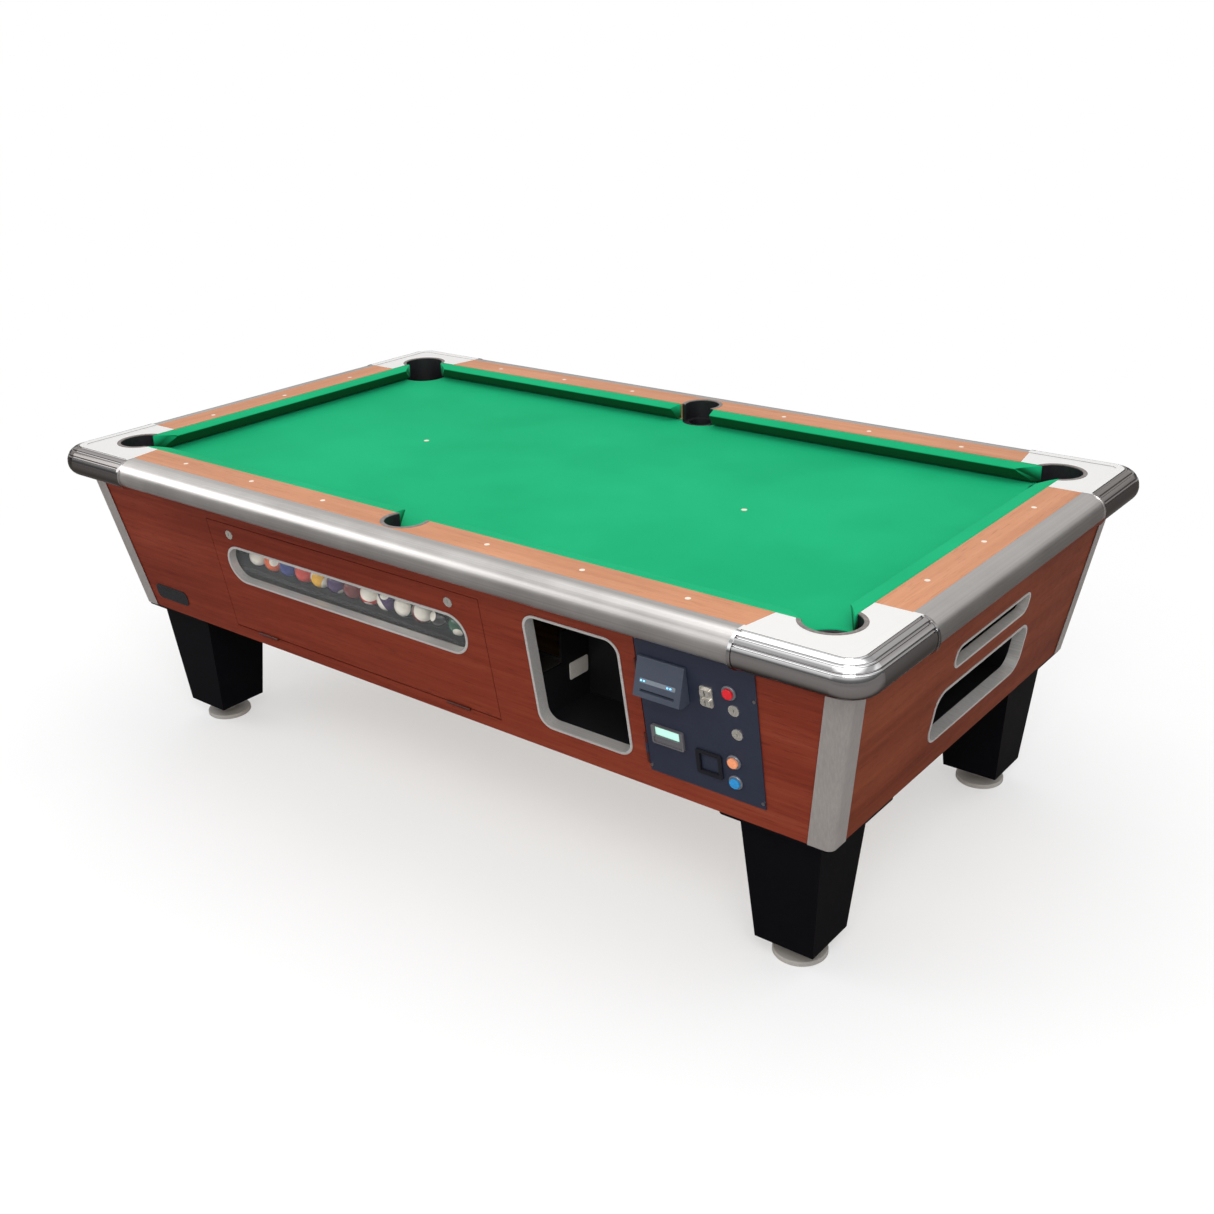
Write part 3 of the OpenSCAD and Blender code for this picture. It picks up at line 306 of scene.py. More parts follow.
def casting_chrome():
    """Bright chrome on the rounded edges, with painted shade in its grooves and a painted reflection of the
    room's dim side; satin on the flat top.
    """
    look = Look("casting_chrome", metallic=1.0)
    facing_up = look.step(look.axis(look.normal, "Z"), 0.985, 0.999)
    at_the_top = look.step(look.axis(look.place, "Z"), RAIL_TOP - 2 * MM, RAIL_TOP - 1 * MM)
    flat = look.math("MULTIPLY", facing_up, at_the_top)
    wear = look.noise(90, 5, 0.7)
    scratches = look.noise(600, 2, 0.5, look.along_grain("ends", 0.02))
    # painted shade mask: occlusion in the grooves and corners
    painted_groove_shade = look.hollows(6 * MM, 0.1, 0.5)
    # painted reflection: the chrome's base colour dims where it faces the room's dim side
    chrome = look.mix(dim_side(look, DIM_FAR_LEFT), rgb(240, 239, 240), PAINTED_DIM_REFLECTION)
    bright = look.mix(flat, chrome, rgb(252, 251, 249))
    # painted shade: the grooves' base colour darkens towards a dark grey
    look.set("Base Color", look.mix(look.math("MULTIPLY", painted_groove_shade, 0.75), bright, rgb(70, 66, 64)))
    polish = look.span(wear, 0.05, 0.12)
    satin = look.span(wear, 0.34, 0.46)
    rounded = look.math("SUBTRACT", 1.0, flat)
    look.set("Roughness", look.math("ADD", look.math("MULTIPLY", flat, satin),
                                    look.math("MULTIPLY", rounded, polish)))
    look.bump(look.math("ADD", scratches, wear), 0.06, 0.08 * MM)
    return look.material


def plated(name, colour, roughness=0.16, metallic=1.0):
    """Plated metal with a patchy shine and fine scratches."""
    look = Look(name, metallic=metallic)
    wear = look.noise(160, 4, 0.7)
    marks = look.noise(1100, 2, 0.5, look.along_grain("x", 0.1))
    look.set("Base Color", look.ramp(wear, (0.35, shade_of(colour, 0.82)), (0.6, colour)))
    look.set("Roughness", look.span(wear, roughness, roughness + 0.16))
    look.bump(marks, 0.1, 0.05 * MM)
    return look.material


# ---------------------------------------------------------------- materials: paint, plastic, stone

def coated(name, colour, roughness, grain_scale, strength, dust=None, gloss=0.5):
    """Paint or moulded plastic with a fine surface texture and an uneven sheen.
    strength is that of its texture, dust the colour of its specks, gloss how much it shines."""
    look = Look(name)
    look.set("Specular IOR Level", gloss)
    skin = look.noise(grain_scale, 3, 0.6)
    clouds = look.noise(6, 4, 0.6)
    tone = look.math("ADD", look.math("MULTIPLY", skin, 0.4), look.math("MULTIPLY", clouds, 0.6))
    body = look.ramp(tone, (0.35, shade_of(colour, 0.8)), (0.65, colour))
    if dust:
        specks = look.math("MULTIPLY", look.step(look.noise(260, 5, 0.8), 0.62, 0.75), 0.35)
        body = look.mix(specks, body, dust)
    look.set("Base Color", body)
    look.set("Roughness", look.span(clouds, roughness - 0.06, roughness + 0.1))
    look.bump(skin, strength, 0.2 * MM)
    return look.material


def pocket_liner():
    """Black moulding, grey on its exposed rim at the top."""
    look = Look("pocket_liner")
    rim = look.step(look.axis(look.place, "Z"), RAIL_TOP - 2.5 * MM, RAIL_TOP - 0.5 * MM)
    wear = look.noise(120, 5, 0.7)
    grey = look.ramp(wear, (0.3, rgb(84, 78, 76)), (0.7, rgb(134, 126, 122)))
    black = look.ramp(wear, (0.3, rgb(10, 10, 14)), (0.7, rgb(24, 24, 30)))
    look.set("Base Color", look.mix(rim, black, grey))
    look.set("Roughness", look.span(wear, 0.42, 0.62))
    look.bump(look.noise(700, 3), 0.25, 0.2 * MM)
    return look.material


def slate():
    """Grey stone in thin layers."""
    look = Look("slate")
    layers = look.noise(14, 6, 0.65, look.stretched((1, 1, 6)))
    look.set("Base Color", look.ramp(layers, (0.3, rgb(52, 54, 58)), (0.7, rgb(88, 90, 96))))
    look.set("Roughness", look.span(layers, 0.55, 0.75))
    look.bump(layers, 0.3, 0.4 * MM)
    return look.material


def clear_lens():
    """Clear sheet: mostly see-through, with a faint reflection and scuffs."""
    look = Look("clear_lens", roughness=0.05)
    scuffs = look.step(look.noise(300, 4, 0.75, look.along_grain("x", 0.2)), 0.66, 0.8)
    look.set("Base Color", rgb(236, 240, 242))
    look.set("Roughness", look.span(scuffs, 0.03, 0.4))
    clear = look.node("ShaderNodeBsdfTransparent")
    join = look.node("ShaderNodeMixShader")
    edge = look.node("ShaderNodeFresnel")
    edge.inputs["IOR"].default_value = 1.45
    outside = look.math("SUBTRACT", 1.0, look.node("ShaderNodeNewGeometry").outputs["Backfacing"])
    shine = look.math("ADD", edge.outputs[0], look.math("MULTIPLY", scuffs, 0.08))
    look.plug(look.math("MULTIPLY", shine, outside, clamp=True), join.inputs[0])
    look.plug(clear.outputs[0], join.inputs[1])
    look.plug(look.shader.outputs[0], join.inputs[2])
    look.plug(join.outputs[0], look.tree.nodes["Material Output"].inputs["Surface"])
    return look.material


def lit_screen():
    """Pale display with a fine cell grid and a soft glow."""
    look = Look("lit_screen", roughness=0.2)
    cells = look.math("MULTIPLY", look.wave(330, "X"), look.wave(330, "Z"))
    colour = look.mix(look.math("MULTIPLY", cells, 0.25), rgb(176, 226, 210), rgb(140, 200, 184))
    look.set("Base Color", colour)
    look.set("Emission Color", colour)
    look.set("Emission Strength", look.span(look.noise(60, 3), 0.25, 0.4))
    return look.material


def glowing(name, colour, strength):
    """Lit plastic, a little whiter in spots."""
    look = Look(name, roughness=0.3)
    look.set("Base Color", colour)
    look.set("Emission Color", look.mix(look.span(look.noise(900, 2), 0.0, 0.25), colour, WHITE))
    look.set("Emission Strength", strength)
    return look.material


def ball_resin(name, colour, striped):
    """Polished resin ball, in its own coordinates: a band of colour round white, or colour all over, and
    a plain white disc on either side."""
    look = Look(name)
    across = look.math("ABSOLUTE", look.axis(look.place, "X"))
    height = look.math("ABSOLUTE", look.axis(look.place, "Z"))
    white = rgb(238, 232, 218)
    body = colour
    if striped:
        body = look.mix(look.step(height, 0.50 * BALL_R, 0.54 * BALL_R), colour, white)
    body = look.mix(look.step(across, 0.90 * BALL_R, 0.92 * BALL_R), body, white)
    wear = look.noise(60, 4, 0.6)
    look.set("Base Color", look.mix(look.math("MULTIPLY", wear, 0.12), body, rgb(120, 112, 100)))
    look.set("Roughness", look.span(wear, 0.06, 0.2))
    look.set("Coat Weight", 0.5)
    look.bump(look.noise(400, 2), 0.03, 0.05 * MM)
    return look.material


# ---------------------------------------------------------------- materials: which piece gets which

def dress(material, *names):
    """Gives CAD nodes this material."""
    for name in names:
        slots = nodes[name].data.materials
        slots.clear()
        slots.append(material)


def dress_cabinet():
    cherry = (rgb(88, 27, 16), rgb(112, 43, 27), rgb(131, 60, 40), rgb(62, 20, 13))
    brown_cherry = (rgb(88, 34, 19), rgb(110, 50, 29), rgb(129, 65, 40), rgb(64, 24, 14))
    dress(woodgrain("cherry_long", *cherry, "x"), "cabinet_front", "cabinet_back", "ball_door")
    dress(woodgrain("cherry_ends", *brown_cherry, "y"), "cabinet_head", "cabinet_foot")
    dress(plywood("plywood"), "cabinet_floor", "slate_frame", "ball_runs")
    dress(brushed("corner_aluminium", rgb(166, 160, 157), rgb(190, 184, 180), "z", 0.42, 0.6),
          "corner_trims")
    dress(brushed("frame_aluminium", rgb(186, 183, 180), rgb(218, 215, 212), "x", 0.34, 0.5),
          "window_frame", "return_frame", "foot_slot_frame", "cue_return_frame")
    dress(clear_lens(), "window_lens")
    dress(coated("badge_black", rgb(30, 32, 36), 0.25, 300, 0.1, rgb(120, 128, 134)), "badge_plate")
    dress(coated("hinge_brown", rgb(74, 26, 18), 0.4, 400, 0.1, rgb(104, 62, 50)),
          "door_hinge_leaves", "cabinet_hinge_leaves")


def dress_inside():
    dress(coated("tray_black", rgb(26, 23, 21), 0.6, 300, 0.3, rgb(60, 54, 48)), "ball_tray")
    dress(coated("box_plastic", rgb(14, 14, 18), 0.5, 500, 0.25), "return_box", "cue_return_box")
    dress(plated("zinc", rgb(196, 196, 198), 0.3), "assembly_bolts", "cash_box", "ball_gate", "panel_screws")


def dress_top():
    tan = (rgb(174, 116, 83), rgb(190, 131, 96), rgb(206, 149, 113), rgb(146, 92, 65))
    dress(woodgrain("tan_long", *tan, "x", 16, 0.4), "side_rails")
    dress(woodgrain("tan_ends", *tan, "y", 16, 0.4), "end_rails")
    dress(slate(), "bed_slate")
    # the trims get a painted reflection of the room's dim back in their base colour
    dress(brushed("satin_aluminium", rgb(196, 192, 190), rgb(228, 225, 222), "ends", 0.3, 0.9, dim=0.5),
          "rail_trims")
    dress(casting_chrome(), "corner_castings")
    dress(pocket_liner(), "corner_pocket_liners", "side_pocket_liners")
    dress(coated("pearl_inlay", rgb(240, 222, 204), 0.2, 900, 0.05), "rail_sights")
    dress(coated("rubber", rgb(60, 48, 40), 0.8, 300, 0.2), "cushion_rubbers")


def dress_feet():
    dress(coated("leg_black", rgb(6, 6, 12), 0.46, 420, 0.35, rgb(34, 32, 36), gloss=0.14),
          "legs", "leg_plates")
    dress(coated("leveller_grey", rgb(168, 163, 157), 0.5, 300, 0.3, rgb(112, 104, 98)),
          "leveller_front_head", "leveller_front_foot", "leveller_back_head", "leveller_back_foot")


def dress_control_panel():
    dress(coated("panel_navy", rgb(38, 44, 62), 0.4, 650, 0.3, rgb(76, 84, 104)),
          "control_panel", "panel_hinge_leaves", "coin_return_flap")
    dress(coated("cup_dark", rgb(20, 22, 32), 0.5, 500, 0.2), "coin_return_cup")
    dress(coated("slate_grey", rgb(66, 73, 87), 0.36, 560, 0.22, rgb(116, 122, 134)), "bill_acceptor")
    dress(coated("bezel_grey", rgb(96, 94, 98), 0.36, 560, 0.22, rgb(138, 134, 134)), "display_bezel")
    dress(lit_screen(), "display_screen")
    dress(plated("lock_nickel", rgb(226, 222, 214), metallic=0.75), "door_lock_bodies", "door_lock_left",
          "door_lock_right", "panel_lock_bodies", "panel_lock_upper", "panel_lock_lower", "coin_entry")
    dress(plated("collar_metal", rgb(140, 144, 152), 0.25, metallic=0.6), "button_collars")
    buttons = {"button_red": rgb(206, 30, 40), "button_orange": rgb(238, 152, 108),
               "button_blue": rgb(38, 136, 196)}
    for name, colour in buttons.items():
        dress(coated(name, colour, 0.2, 200, 0.04), name)


# ---------------------------------------------------------------- meshes: tools

def new_piece(name, mesh, material, body):
    """Adds a piece that rides on a body and wears this material."""
    piece = bpy.data.objects.new(name, mesh)
    bpy.context.scene.collection.objects.link(piece)
    mesh.materials.append(material)
    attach(piece, body)
    return piece


def mesh_from(name, made, smooth=True):
    """Turns a bmesh into a mesh, with its faces turned outwards."""
    mesh = bpy.data.meshes.new(name)
    bmesh.ops.recalc_face_normals(made, faces=made.faces)
    for face in made.faces:
        face.smooth = smooth
    made.to_mesh(mesh)
    made.free()
    return mesh


def loft(made, rows, closed):
    """Faces between rows of points; closed joins each row's last point to its first."""
    grid = [[made.verts.new(point) for point in row] for row in rows]
    for first, second in zip(grid, grid[1:]):
        count = len(first)
        for i in range(count if closed else count - 1):
            j = (i + 1) % count
            made.faces.new((first[i], first[j], second[j], second[i]))
    return grid


def arc_points(centre, radius, start, end, count):
    """Points on an arc in the plane, between two angles in degrees."""
    turns = [math.radians(start + (end - start) * i / count) for i in range(count + 1)]
    return [Vector((centre[0] + radius * math.cos(t), centre[1] + radius * math.sin(t))) for t in turns]


# ---------------------------------------------------------------- bed cloth

LIP_OUT = 4 * MM                 # the cloth starts to roll down this far outside a pocket's liner
LIP_IN = 1.5 * MM                # and ends this far inside its outer surface
LIP_DEEP = 2.8 * MM
LIP_MARGIN = 3 * MM              # flat strip round each lip, which keeps the bed's shading even
LIP_STEPS = 6
POCKET_STEPS = 40


def pocket_arcs():
    """Pockets anticlockwise round the bed from the foot end: (centre, radius, first angle, last angle)."""
    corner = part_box("corner_pocket_liners")[1] - Vector((CORNER_POCKET_R, CORNER_POCKET_R, 0))
    side_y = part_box("side_pocket_liners")[1].y - SIDE_POCKET_R
    return [((corner.x, corner.y), CORNER_POCKET_R, 360, 90), ((0, side_y), SIDE_POCKET_R, 360, 180),
            ((-corner.x, corner.y), CORNER_POCKET_R, 90, -180),
            ((-corner.x, -corner.y), CORNER_POCKET_R, 180, -90),
            ((0, -side_y), SIDE_POCKET_R, 180, 0), ((corner.x, -corner.y), CORNER_POCKET_R, 270, 0)]


def lip_section(radius):
    """Points (distance from the pocket's centre, height) from the flat bed over the lip."""
    section = [(radius + LIP_OUT + LIP_MARGIN, BED_TOP)]
    for i in range(LIP_STEPS + 1):
        turn = math.pi / 2 * i / LIP_STEPS
        section.append((radius + LIP_OUT - (LIP_OUT + LIP_IN) * math.sin(turn),
                        BED_TOP - LIP_DEEP * (1 - math.cos(turn))))
    return section


def outer_point(point, centre, high):
    """The point on the cloth's outer edge that an end of a pocket's arc is joined to."""
    if abs(point.y - centre[1]) < abs(point.x - centre[0]) and abs(centre[0]) > 0:
        return Vector((math.copysign(high.x, point.x), point.y, BED_TOP))
    return Vector((point.x, math.copysign(high.y, point.y), BED_TOP))


def build_bed_cloth(material):
    """Flat sheet that rolls down over the edge of every pocket."""
    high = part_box("bed_cloth")[1]
    made = bmesh.new()
    outline = []
    for centre, radius, start, end in pocket_arcs():
        arcs = [[(*point, z) for point in arc_points(centre, r, start, end, POCKET_STEPS)]
                for r, z in lip_section(radius)]
        edge = loft(made, arcs, closed=False)[0]
        outline.append(made.verts.new(outer_point(edge[0].co, centre, high)))
        outline.extend(edge)
        outline.append(made.verts.new(outer_point(edge[-1].co, centre, high)))
    bed = made.faces.new(outline)
    bmesh.ops.triangulate(made, faces=[bed])
    piece = new_piece("bed_cloth_sheet", mesh_from("bed_cloth_sheet", made), material, "table")
    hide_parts("bed_cloth")


# ---------------------------------------------------------------- cushions

CORNER_CUT = math.radians(38)    # angle of a cushion's end at a corner pocket, from its length
SIDE_CUT = math.radians(76)      # and at a side pocket
END_ROUND = 2.2 * MM             # the edges of the ends are rounded by this
END_ROWS = (0.25, 0.6, 1.0)      # rows of points over that rounding, as shares of it
TUCK = 1.2 * MM                  # depth of the groove where the cloth is tucked in behind a cushion
TUCK_W = 2 * MM
NOSE_Z = 36 * MM                 # centre of the nose above the bed
NOSE_R = 2.5 * MM
CROWN = 0.7 * MM                 # the top bulges by this
CROWN_STEPS = 9
HOLLOW = 0.5 * MM                # and the undercut is hollowed by this
HEEL = 15 * MM                   # from the end of the undercut to the cushion's back
SLACK = 0.12 * MM                # faint waves in the cloth, on the nose and the top only
SLACK_FROM = 30 * MM
SLACK_ALONG = 41                 # radians per metre along a cushion
SLACK_UP = 300                   # and up it
CUSHION_STEPS = 60


def cushion_profile():
    """Closed section as (distance back from the nose, height above the bed)."""
    top = RAIL_TOP - BED_TOP
    back = CUSHION_W - 0.3 * MM
    crest = top - 0.4 * MM
    nose_top = NOSE_Z + NOSE_R
    points = [(back, top - TUCK - 1 * MM), (back - 0.8 * MM, top - TUCK), (back - TUCK_W, crest)]
    for i in range(1, CROWN_STEPS):
        share = i / CROWN_STEPS
        v = back - TUCK_W + (NOSE_R - back + TUCK_W) * share
        crown = CROWN * math.sin(math.pi * share)
        points.append((v, crest + (nose_top - crest) * share ** 1.15 + crown))
    for turn in range(90, 231, 20):
        t = math.radians(turn)
        points.append((NOSE_R + NOSE_R * math.cos(t), NOSE_Z + NOSE_R * math.sin(t)))
    under_nose, heel_top = NOSE_Z - 2 * MM, 6 * MM
    for share in (0.15, 0.35, 0.55, 0.75, 0.9):
        v = 1 * MM + (CUSHION_W - HEEL) * share
        points.append((v, under_nose + (heel_top - under_nose) * share - HOLLOW * math.sin(math.pi * share)))
    heel = 4.6 * MM
    points += [(CUSHION_W - HEEL + 1 * MM, 5 * MM), (CUSHION_W - HEEL + 5 * MM, heel), (back, heel)]
    return points


def cushion_row(profile, middle, limits, cuts, share, bend):
    """One row of points round a cushion, at a share of its length. bend runs from 0 on its straight part
    to 1 at the tip of a rounded end, where the section has shrunk."""
    (start, end), (start_cut, end_cut) = limits, cuts
    shrink = END_ROUND * (1 - math.sqrt(max(0.0, 1 - bend ** 2)))
    pushed = END_ROUND * bend * (1 if share > 0.5 else -1)
    row = []
    for v, z in profile:
        reach = Vector((v, z)) - middle
        reach = reach - reach.normalized() * shrink
        back, height = middle + reach
        first = start - v / math.tan(start_cut) + END_ROUND
        last = end + v / math.tan(end_cut) - END_ROUND
        slack = 0.0
        if z > SLACK_FROM:
            slack = SLACK * math.sin(share * (end - start) * SLACK_ALONG + z * SLACK_UP)
        row.append((first + (last - first) * share + pushed, back, BED_TOP + height + slack))
    return row


def cushion_mesh(name, limits, cuts):
    """Cushion along +x with its nose towards -y. limits are the ends of its nose, cuts their angles."""
    profile = cushion_profile()
    middle = Vector((sum(p[0] for p in profile), sum(p[1] for p in profile))) / len(profile)
    first_end = [(0.0, bend) for bend in reversed(END_ROWS)]
    straight = [(i / CUSHION_STEPS, 0.0) for i in range(CUSHION_STEPS + 1)]
    last_end = [(1.0, bend) for bend in END_ROWS]
    rows = [cushion_row(profile, middle, limits, cuts, share, bend)
            for share, bend in first_end + straight + last_end]
    made = bmesh.new()
    grid = loft(made, rows, closed=True)
    made.faces.new(grid[0])
    made.faces.new(grid[-1])
    return mesh_from(name, made)


def build_cushions(material):
    """Six cushions, two on each side and one at each end: each is one of two shapes or its mirror image."""
    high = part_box("cushion_cloths")[1]
    half_l, half_w = high.x - CUSHION_W, high.y - CUSHION_W
    corner_back = CORNER_MOUTH / math.sqrt(2)
    side = ((SIDE_MOUTH / 2, half_l - corner_back), (SIDE_CUT, CORNER_CUT))
    end = ((corner_back - half_w, half_w - corner_back), (CORNER_CUT, CORNER_CUT))
    mirror_x = Matrix.Diagonal((-1, 1, 1, 1))
    mirror_y = Matrix.Diagonal((1, -1, 1, 1))
    to_side = Matrix.Translation((0, half_w, 0))
    to_foot = Matrix.Translation((half_l, 0, 0)) @ Matrix.Rotation(-math.pi / 2, 4, "Z")
    places = {"cushion_back_foot": (side, to_side), "cushion_back_head": (side, mirror_x @ to_side),
              "cushion_front_foot": (side, mirror_y @ to_side),
              "cushion_front_head": (side, mirror_x @ mirror_y @ to_side),
              "cushion_foot": (end, to_foot), "cushion_head": (end, mirror_x @ to_foot)}
    for name, ((limits, cuts), place) in places.items():
        mesh = cushion_mesh(name, limits, cuts)
        mesh.transform(place)
        if place.determinant() < 0:
            mesh.flip_normals()
        piece = new_piece(name, mesh, material, "table")
    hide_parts("cushion_cloths")    # one CAD node holds all six cushions


# ---------------------------------------------------------------- balls

BALL_COLOURS = {"yellow": rgb(236, 178, 40), "blue": rgb(30, 52, 128), "red": rgb(206, 52, 34),
                "purple": rgb(66, 36, 92), "orange": rgb(226, 96, 36), "green": rgb(18, 84, 58),
                "maroon": rgb(110, 30, 30), "black": rgb(18, 18, 20)}
BALL_ORDER = ["stripe_blue", "solid_orange", "solid_blue", "solid_red", "stripe_yellow", "solid_purple",
              "solid_maroon", "stripe_red", "stripe_purple", "stripe_green", "stripe_maroon",
              "solid_black", "solid_green", "stripe_orange", "solid_yellow"]


def build_balls():
    """The balls waiting on the sloping tray behind the window, each turned its own way."""
    low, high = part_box("pool_balls")
    count = len(BALL_ORDER)
    first = Vector((low.x + BALL_R, (low.y + high.y) / 2, high.z - BALL_R))
    last = Vector((high.x - BALL_R, (low.y + high.y) / 2, low.z + BALL_R))
    turns = random.Random(7)
    for i, kind in enumerate(BALL_ORDER):
        style, colour = kind.split("_")
        made = bmesh.new()
        bmesh.ops.create_uvsphere(made, u_segments=40, v_segments=24, radius=BALL_R)
        mesh = mesh_from("ball_" + kind, made)
        ball = bpy.data.objects.new("ball_" + kind, mesh)
        bpy.context.scene.collection.objects.link(ball)
        mesh.materials.append(ball_resin("resin_" + kind, BALL_COLOURS[colour], style == "stripe"))
        ball.location = first.lerp(last, i / (count - 1))
        ball.rotation_euler = [turns.uniform(0, math.tau) for _ in range(3)]
        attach(ball, "table")
        if i == 0:
            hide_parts("pool_balls")


# ---------------------------------------------------------------- small details on the front

ACCEPTOR_SLOPE = math.atan2(30, 74)    # of its face against the wall: 30 mm out over 74 mm
ACCEPTOR_FOOT = 6 * MM                 # the sloping face starts this far above the acceptor's lowest point
LIGHT_BAR_UP = 34 * MM                 # from there to the light bar, along the face
LIGHT_BAR_T = 1.2 * MM
LIGHT_BAR_SUNK = 0.4 * MM
LAMPS_X = (-38 * MM, -31 * MM, 24 * MM, 31 * MM)    # along the light bar, from its middle
RETURN_BOX_WALL = 6 * MM
LABEL_BACK = 48 * MM                   # from the middle of the box towards its back
LABEL_UP = 0.45                        # share of the box's height
CORNER_STEPS = 6


def plate_mesh(name, width, height, radius, thickness, edge=0.4 * MM):
    """Thin plate with rounded corners and softened edges, lying on z = 0."""
    shoulder = 0.3 * edge
    levels = ((0.0, 0.0), (0.0, thickness - edge), (shoulder, thickness - shoulder), (edge, thickness))
    rows = []
    for inset, z in levels:
        row = []
        r = radius - inset
        for sx, sy, start in ((1, 1, 0), (-1, 1, 90), (-1, -1, 180), (1, -1, 270)):
            corner = (sx * (width / 2 - radius), sy * (height / 2 - radius))
            row += [(*point, z) for point in arc_points(corner, r, start, start + 90, CORNER_STEPS)]
        rows.append(row)
    made = bmesh.new()
    grid = loft(made, rows, closed=True)
    made.faces.new(grid[0])
    made.faces.new(grid[-1])
    return mesh_from(name, made, smooth=False)


def build_return_label(material):
    """Blank pale plate on the inner left wall of the ball return."""
    low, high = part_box("return_box")
    mesh = plate_mesh("return_label", width=62 * MM, height=40 * MM, radius=5 * MM, thickness=1.5 * MM)
    place = Matrix.Translation((low.x + RETURN_BOX_WALL, (low.y + high.y) / 2 + LABEL_BACK,
                                low.z + LABEL_UP * (high.z - low.z)))
    mesh.transform(place @ Matrix.Rotation(math.pi / 2, 4, "Z") @ Matrix.Rotation(math.pi / 2, 4, "X"))
    new_piece("return_label", mesh, material, "table")


def build_acceptor_lights(strip_look, lamp_look):
    """Light bar on the bill acceptor's sloping face, with a pair of blue lamps near each end."""
    low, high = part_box("bill_acceptor")
    out_of_wall = Matrix.Rotation(math.pi / 2 + LEAN, 4, "X")
    slope = Matrix.Rotation(-ACCEPTOR_SLOPE, 4, "X")
    foot = Vector(((low.x + high.x) / 2, low.y, low.z + ACCEPTOR_FOOT))
    on_face = (Matrix.Translation(foot) @ out_of_wall @ slope
               @ Matrix.Translation((0, LIGHT_BAR_UP, -LIGHT_BAR_SUNK)))
    strip = plate_mesh("acceptor_light_bar", width=84 * MM, height=9 * MM, radius=2 * MM,
                       thickness=LIGHT_BAR_T)
    strip.transform(on_face)
    new_piece("acceptor_light_bar", strip, strip_look, "control_panel")
    for number, x in enumerate(LAMPS_X, start=1):
        name = f"acceptor_lamp_{number}"
        lamp = plate_mesh(name, width=4 * MM, height=3 * MM, radius=1.2 * MM, thickness=0.8 * MM,
                          edge=0.2 * MM)
        lamp.transform(on_face @ Matrix.Translation((x, 0, LIGHT_BAR_T)))
        new_piece(name, lamp, lamp_look, "control_panel")


# ---------------------------------------------------------------- softened edges

def soften(width, *names):
    """Rounds the sharp edges of CAD nodes with modifiers."""
    for name in names:
        weld = nodes[name].modifiers.new("weld", "WELD")
        weld.merge_threshold = 0.01 * MM
        bevel = nodes[name].modifiers.new("bevel", "BEVEL")
        bevel.width = width
        bevel.segments = 2
        bevel.limit_method = "ANGLE"
        bevel.angle_limit = math.radians(40)
        bevel.use_clamp_overlap = True


# ---------------------------------------------------------------- studio

FLOOR_REACH = 40.0
FADE_START, FADE_END = 1.6, 3.4  # the floor fades to white between these distances from the origin
WHITE_BEFORE = 0.45              # share of white that it already has before them
FLOOR_IN_METAL = (0.11, 0.1, 0.095, 1.0)
METAL_ROOM = [                   # (height of a direction, from 0 on the horizon to 1 overhead, brightness)
    (0.0, 0.08), (0.10, 0.14), (0.21, 0.6), (0.32, 1.05), (0.54, 1.05), (0.64, 0.42), (0.76, 0.42),
    (0.86, 1.4), (1.0, 1.4)]
CAMERA_PLACE = Vector((2.153, -2.558, 1.819))
CAMERA_TURN, CAMERA_TILT, CAMERA_ROLL = math.radians(38.76), math.radians(-23.10), math.radians(-1.62)
LENS_MM = 41.62


def build_floor():
    """Pale floor that fades into the white backdrop; in polished metal it looks darker and warmer."""
    look = Look("studio_floor", roughness=0.9)
    pale = look.ramp(look.noise(1.5, 3), (0.3, (0.87, 0.87, 0.87, 1)), (0.7, (0.89, 0.89, 0.89, 1)))
    rays = look.node("ShaderNodeLightPath")
    look.set("Base Color", look.mix(rays.outputs["Is Glossy Ray"], pale, FLOOR_IN_METAL))
    distance = look.node("ShaderNodeVectorMath", operation="LENGTH")
    look.plug(look.place, distance.inputs[0])
    away = look.span(look.step(distance.outputs["Value"], FADE_START, FADE_END), WHITE_BEFORE, 1.0)
    white = look.node("ShaderNodeEmission")
    join = look.node("ShaderNodeMixShader")
    look.plug(look.math("MULTIPLY", away, rays.outputs["Is Camera Ray"]), join.inputs[0])
    look.plug(look.shader.outputs[0], join.inputs[1])
    look.plug(white.outputs[0], join.inputs[2])
    look.plug(join.outputs[0], look.tree.nodes["Material Output"].inputs["Surface"])
    mesh = bpy.data.meshes.new("studio_floor")
    corners = [(FLOOR_REACH * x, FLOOR_REACH * y, 0) for x, y in ((-1, -1), (1, -1), (1, 1), (-1, 1))]
    mesh.from_pydata(corners, [], [(0, 1, 2, 3)])
    mesh.materials.append(look.material)
    floor = bpy.data.objects.new("studio_floor", mesh)
    bpy.context.scene.collection.objects.link(floor)


def build_world():
    """White backdrop that also lights the table. Metal mirrors a room instead: dark low down, with a
    bright band on its walls and a lit ceiling."""
    world = bpy.data.worlds.new("studio")
    bpy.context.scene.world = world
    world.use_nodes = True
    tree = world.node_tree
    backdrop = tree.nodes["Background"]
    coordinates = tree.nodes.new("ShaderNodeTexCoord")
    split = tree.nodes.new("ShaderNodeSeparateXYZ")
    tree.links.new(coordinates.outputs["Generated"], split.inputs[0])
    ramp = tree.nodes.new("ShaderNodeValToRGB")
    tree.links.new(split.outputs["Z"], ramp.inputs[0])
    elements = ramp.color_ramp.elements
    while len(elements) < len(METAL_ROOM):
        elements.new(0.5)
    for element, (height, brightness) in zip(elements, METAL_ROOM):
        element.position = height
        element.color = (brightness, brightness, brightness, 1)
    rays = tree.nodes.new("ShaderNodeLightPath")
    choose = tree.nodes.new("ShaderNodeMix")
    choose.data_type = "RGBA"
    choose.inputs[6].default_value = WHITE
    tree.links.new(rays.outputs["Is Glossy Ray"], choose.inputs[0])
    tree.links.new(ramp.outputs[0], choose.inputs[7])
    tree.links.new(choose.outputs[2], backdrop.inputs["Color"])
    backdrop.inputs["Strength"].default_value = 1.0


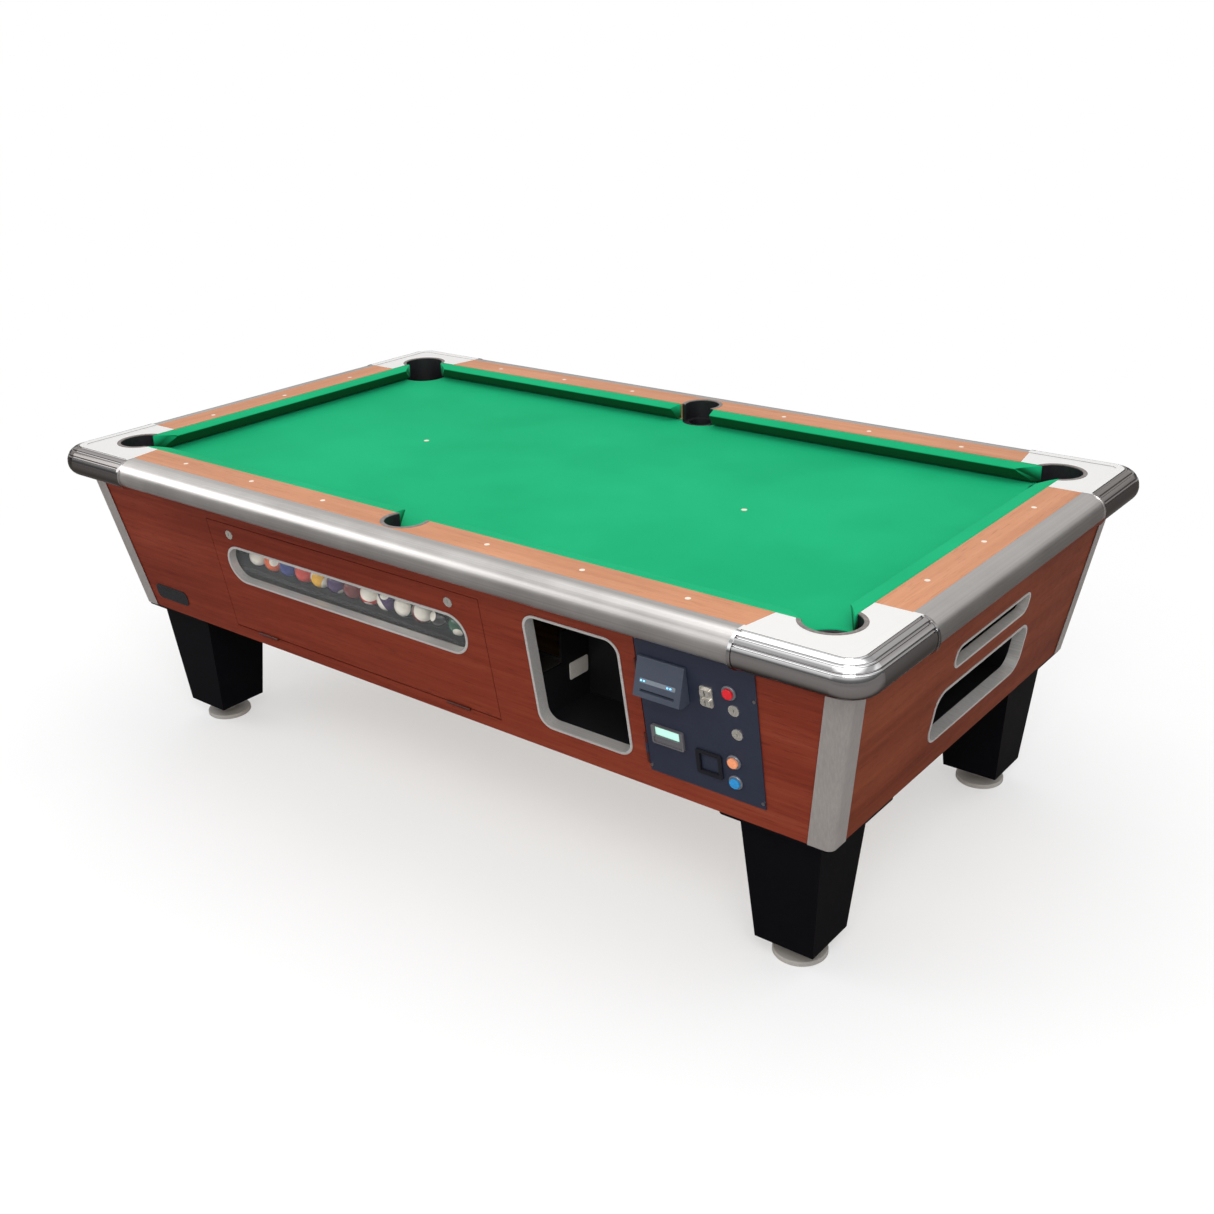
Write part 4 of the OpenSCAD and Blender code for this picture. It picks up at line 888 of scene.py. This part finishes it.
def softbox(name, place, target, size, power):
    """Rectangular soft light that faces its target; size is its width and height, power is in watts."""
    light = bpy.data.lights.new(name, "AREA")
    light.shape = "RECTANGLE"
    light.size, light.size_y = size
    light.energy = power
    lamp = bpy.data.objects.new(name, light)
    bpy.context.scene.collection.objects.link(lamp)
    lamp.location = place
    lamp.rotation_euler = (Vector(target) - Vector(place)).to_track_quat("-Z", "Y").to_euler()


def build_lights():
    softbox("key", place=(2.6, -3.2, 3.6), target=(0.3, -0.2, 0.6), size=(2.4, 1.6), power=75)
    softbox("fill", place=(-3.6, -2.6, 2.4), target=(-0.3, 0, 0.6), size=(2.4, 2.0), power=22)
    softbox("top", place=(0, 0.4, 4.2), target=(0, 0, 0.7), size=(3.6, 2.4), power=20)


def build_camera():
    """Camera off the corner between the front and the foot end, looking down on the table."""
    turn, tilt, roll = CAMERA_TURN, CAMERA_TILT, CAMERA_ROLL
    ahead = Vector((-math.sin(turn) * math.cos(tilt), math.cos(turn) * math.cos(tilt), math.sin(tilt)))
    right = Vector((math.cos(turn), math.sin(turn), 0))
    up = right.cross(ahead)
    rolled_right = math.cos(roll) * right + math.sin(roll) * up
    rolled_up = math.cos(roll) * up - math.sin(roll) * right
    camera = bpy.data.cameras.new("camera")
    camera.sensor_width = 36
    camera.lens = LENS_MM
    view = bpy.data.objects.new("camera", camera)
    bpy.context.scene.collection.objects.link(view)
    axes = Matrix((rolled_right, rolled_up, -ahead)).transposed().to_4x4()
    view.matrix_world = Matrix.Translation(CAMERA_PLACE) @ axes
    bpy.context.scene.camera = view


# ---------------------------------------------------------------- all of it

dress_cabinet()
dress_inside()
dress_top()
dress_feet()
dress_control_panel()
cloth_tones = rgb(6, 151, 98), rgb(20, 168, 114)
# painted shade for the cloth under the cushions' noses
under_nose = rgb(4, 74, 38)
build_bed_cloth(wool_cloth("wool_cloth", *cloth_tones))
build_cushions(wool_cloth("cushion_cloth", *cloth_tones, under_nose))
build_balls()
soften(2 * MM, "legs", "leg_plates")
soften(1.2 * MM, "bill_acceptor", "display_bezel")
build_return_label(coated("label_stock", rgb(214, 208, 200), 0.5, 300, 0.1, rgb(120, 110, 100)))
build_acceptor_lights(coated("light_bar", rgb(120, 128, 138), 0.25, 400, 0.1),
                      glowing("blue_lamp", rgb(30, 150, 235), 3.0))
build_floor()
build_world()
build_lights()
build_camera()
bpy.context.scene.view_settings.view_transform = "Standard"
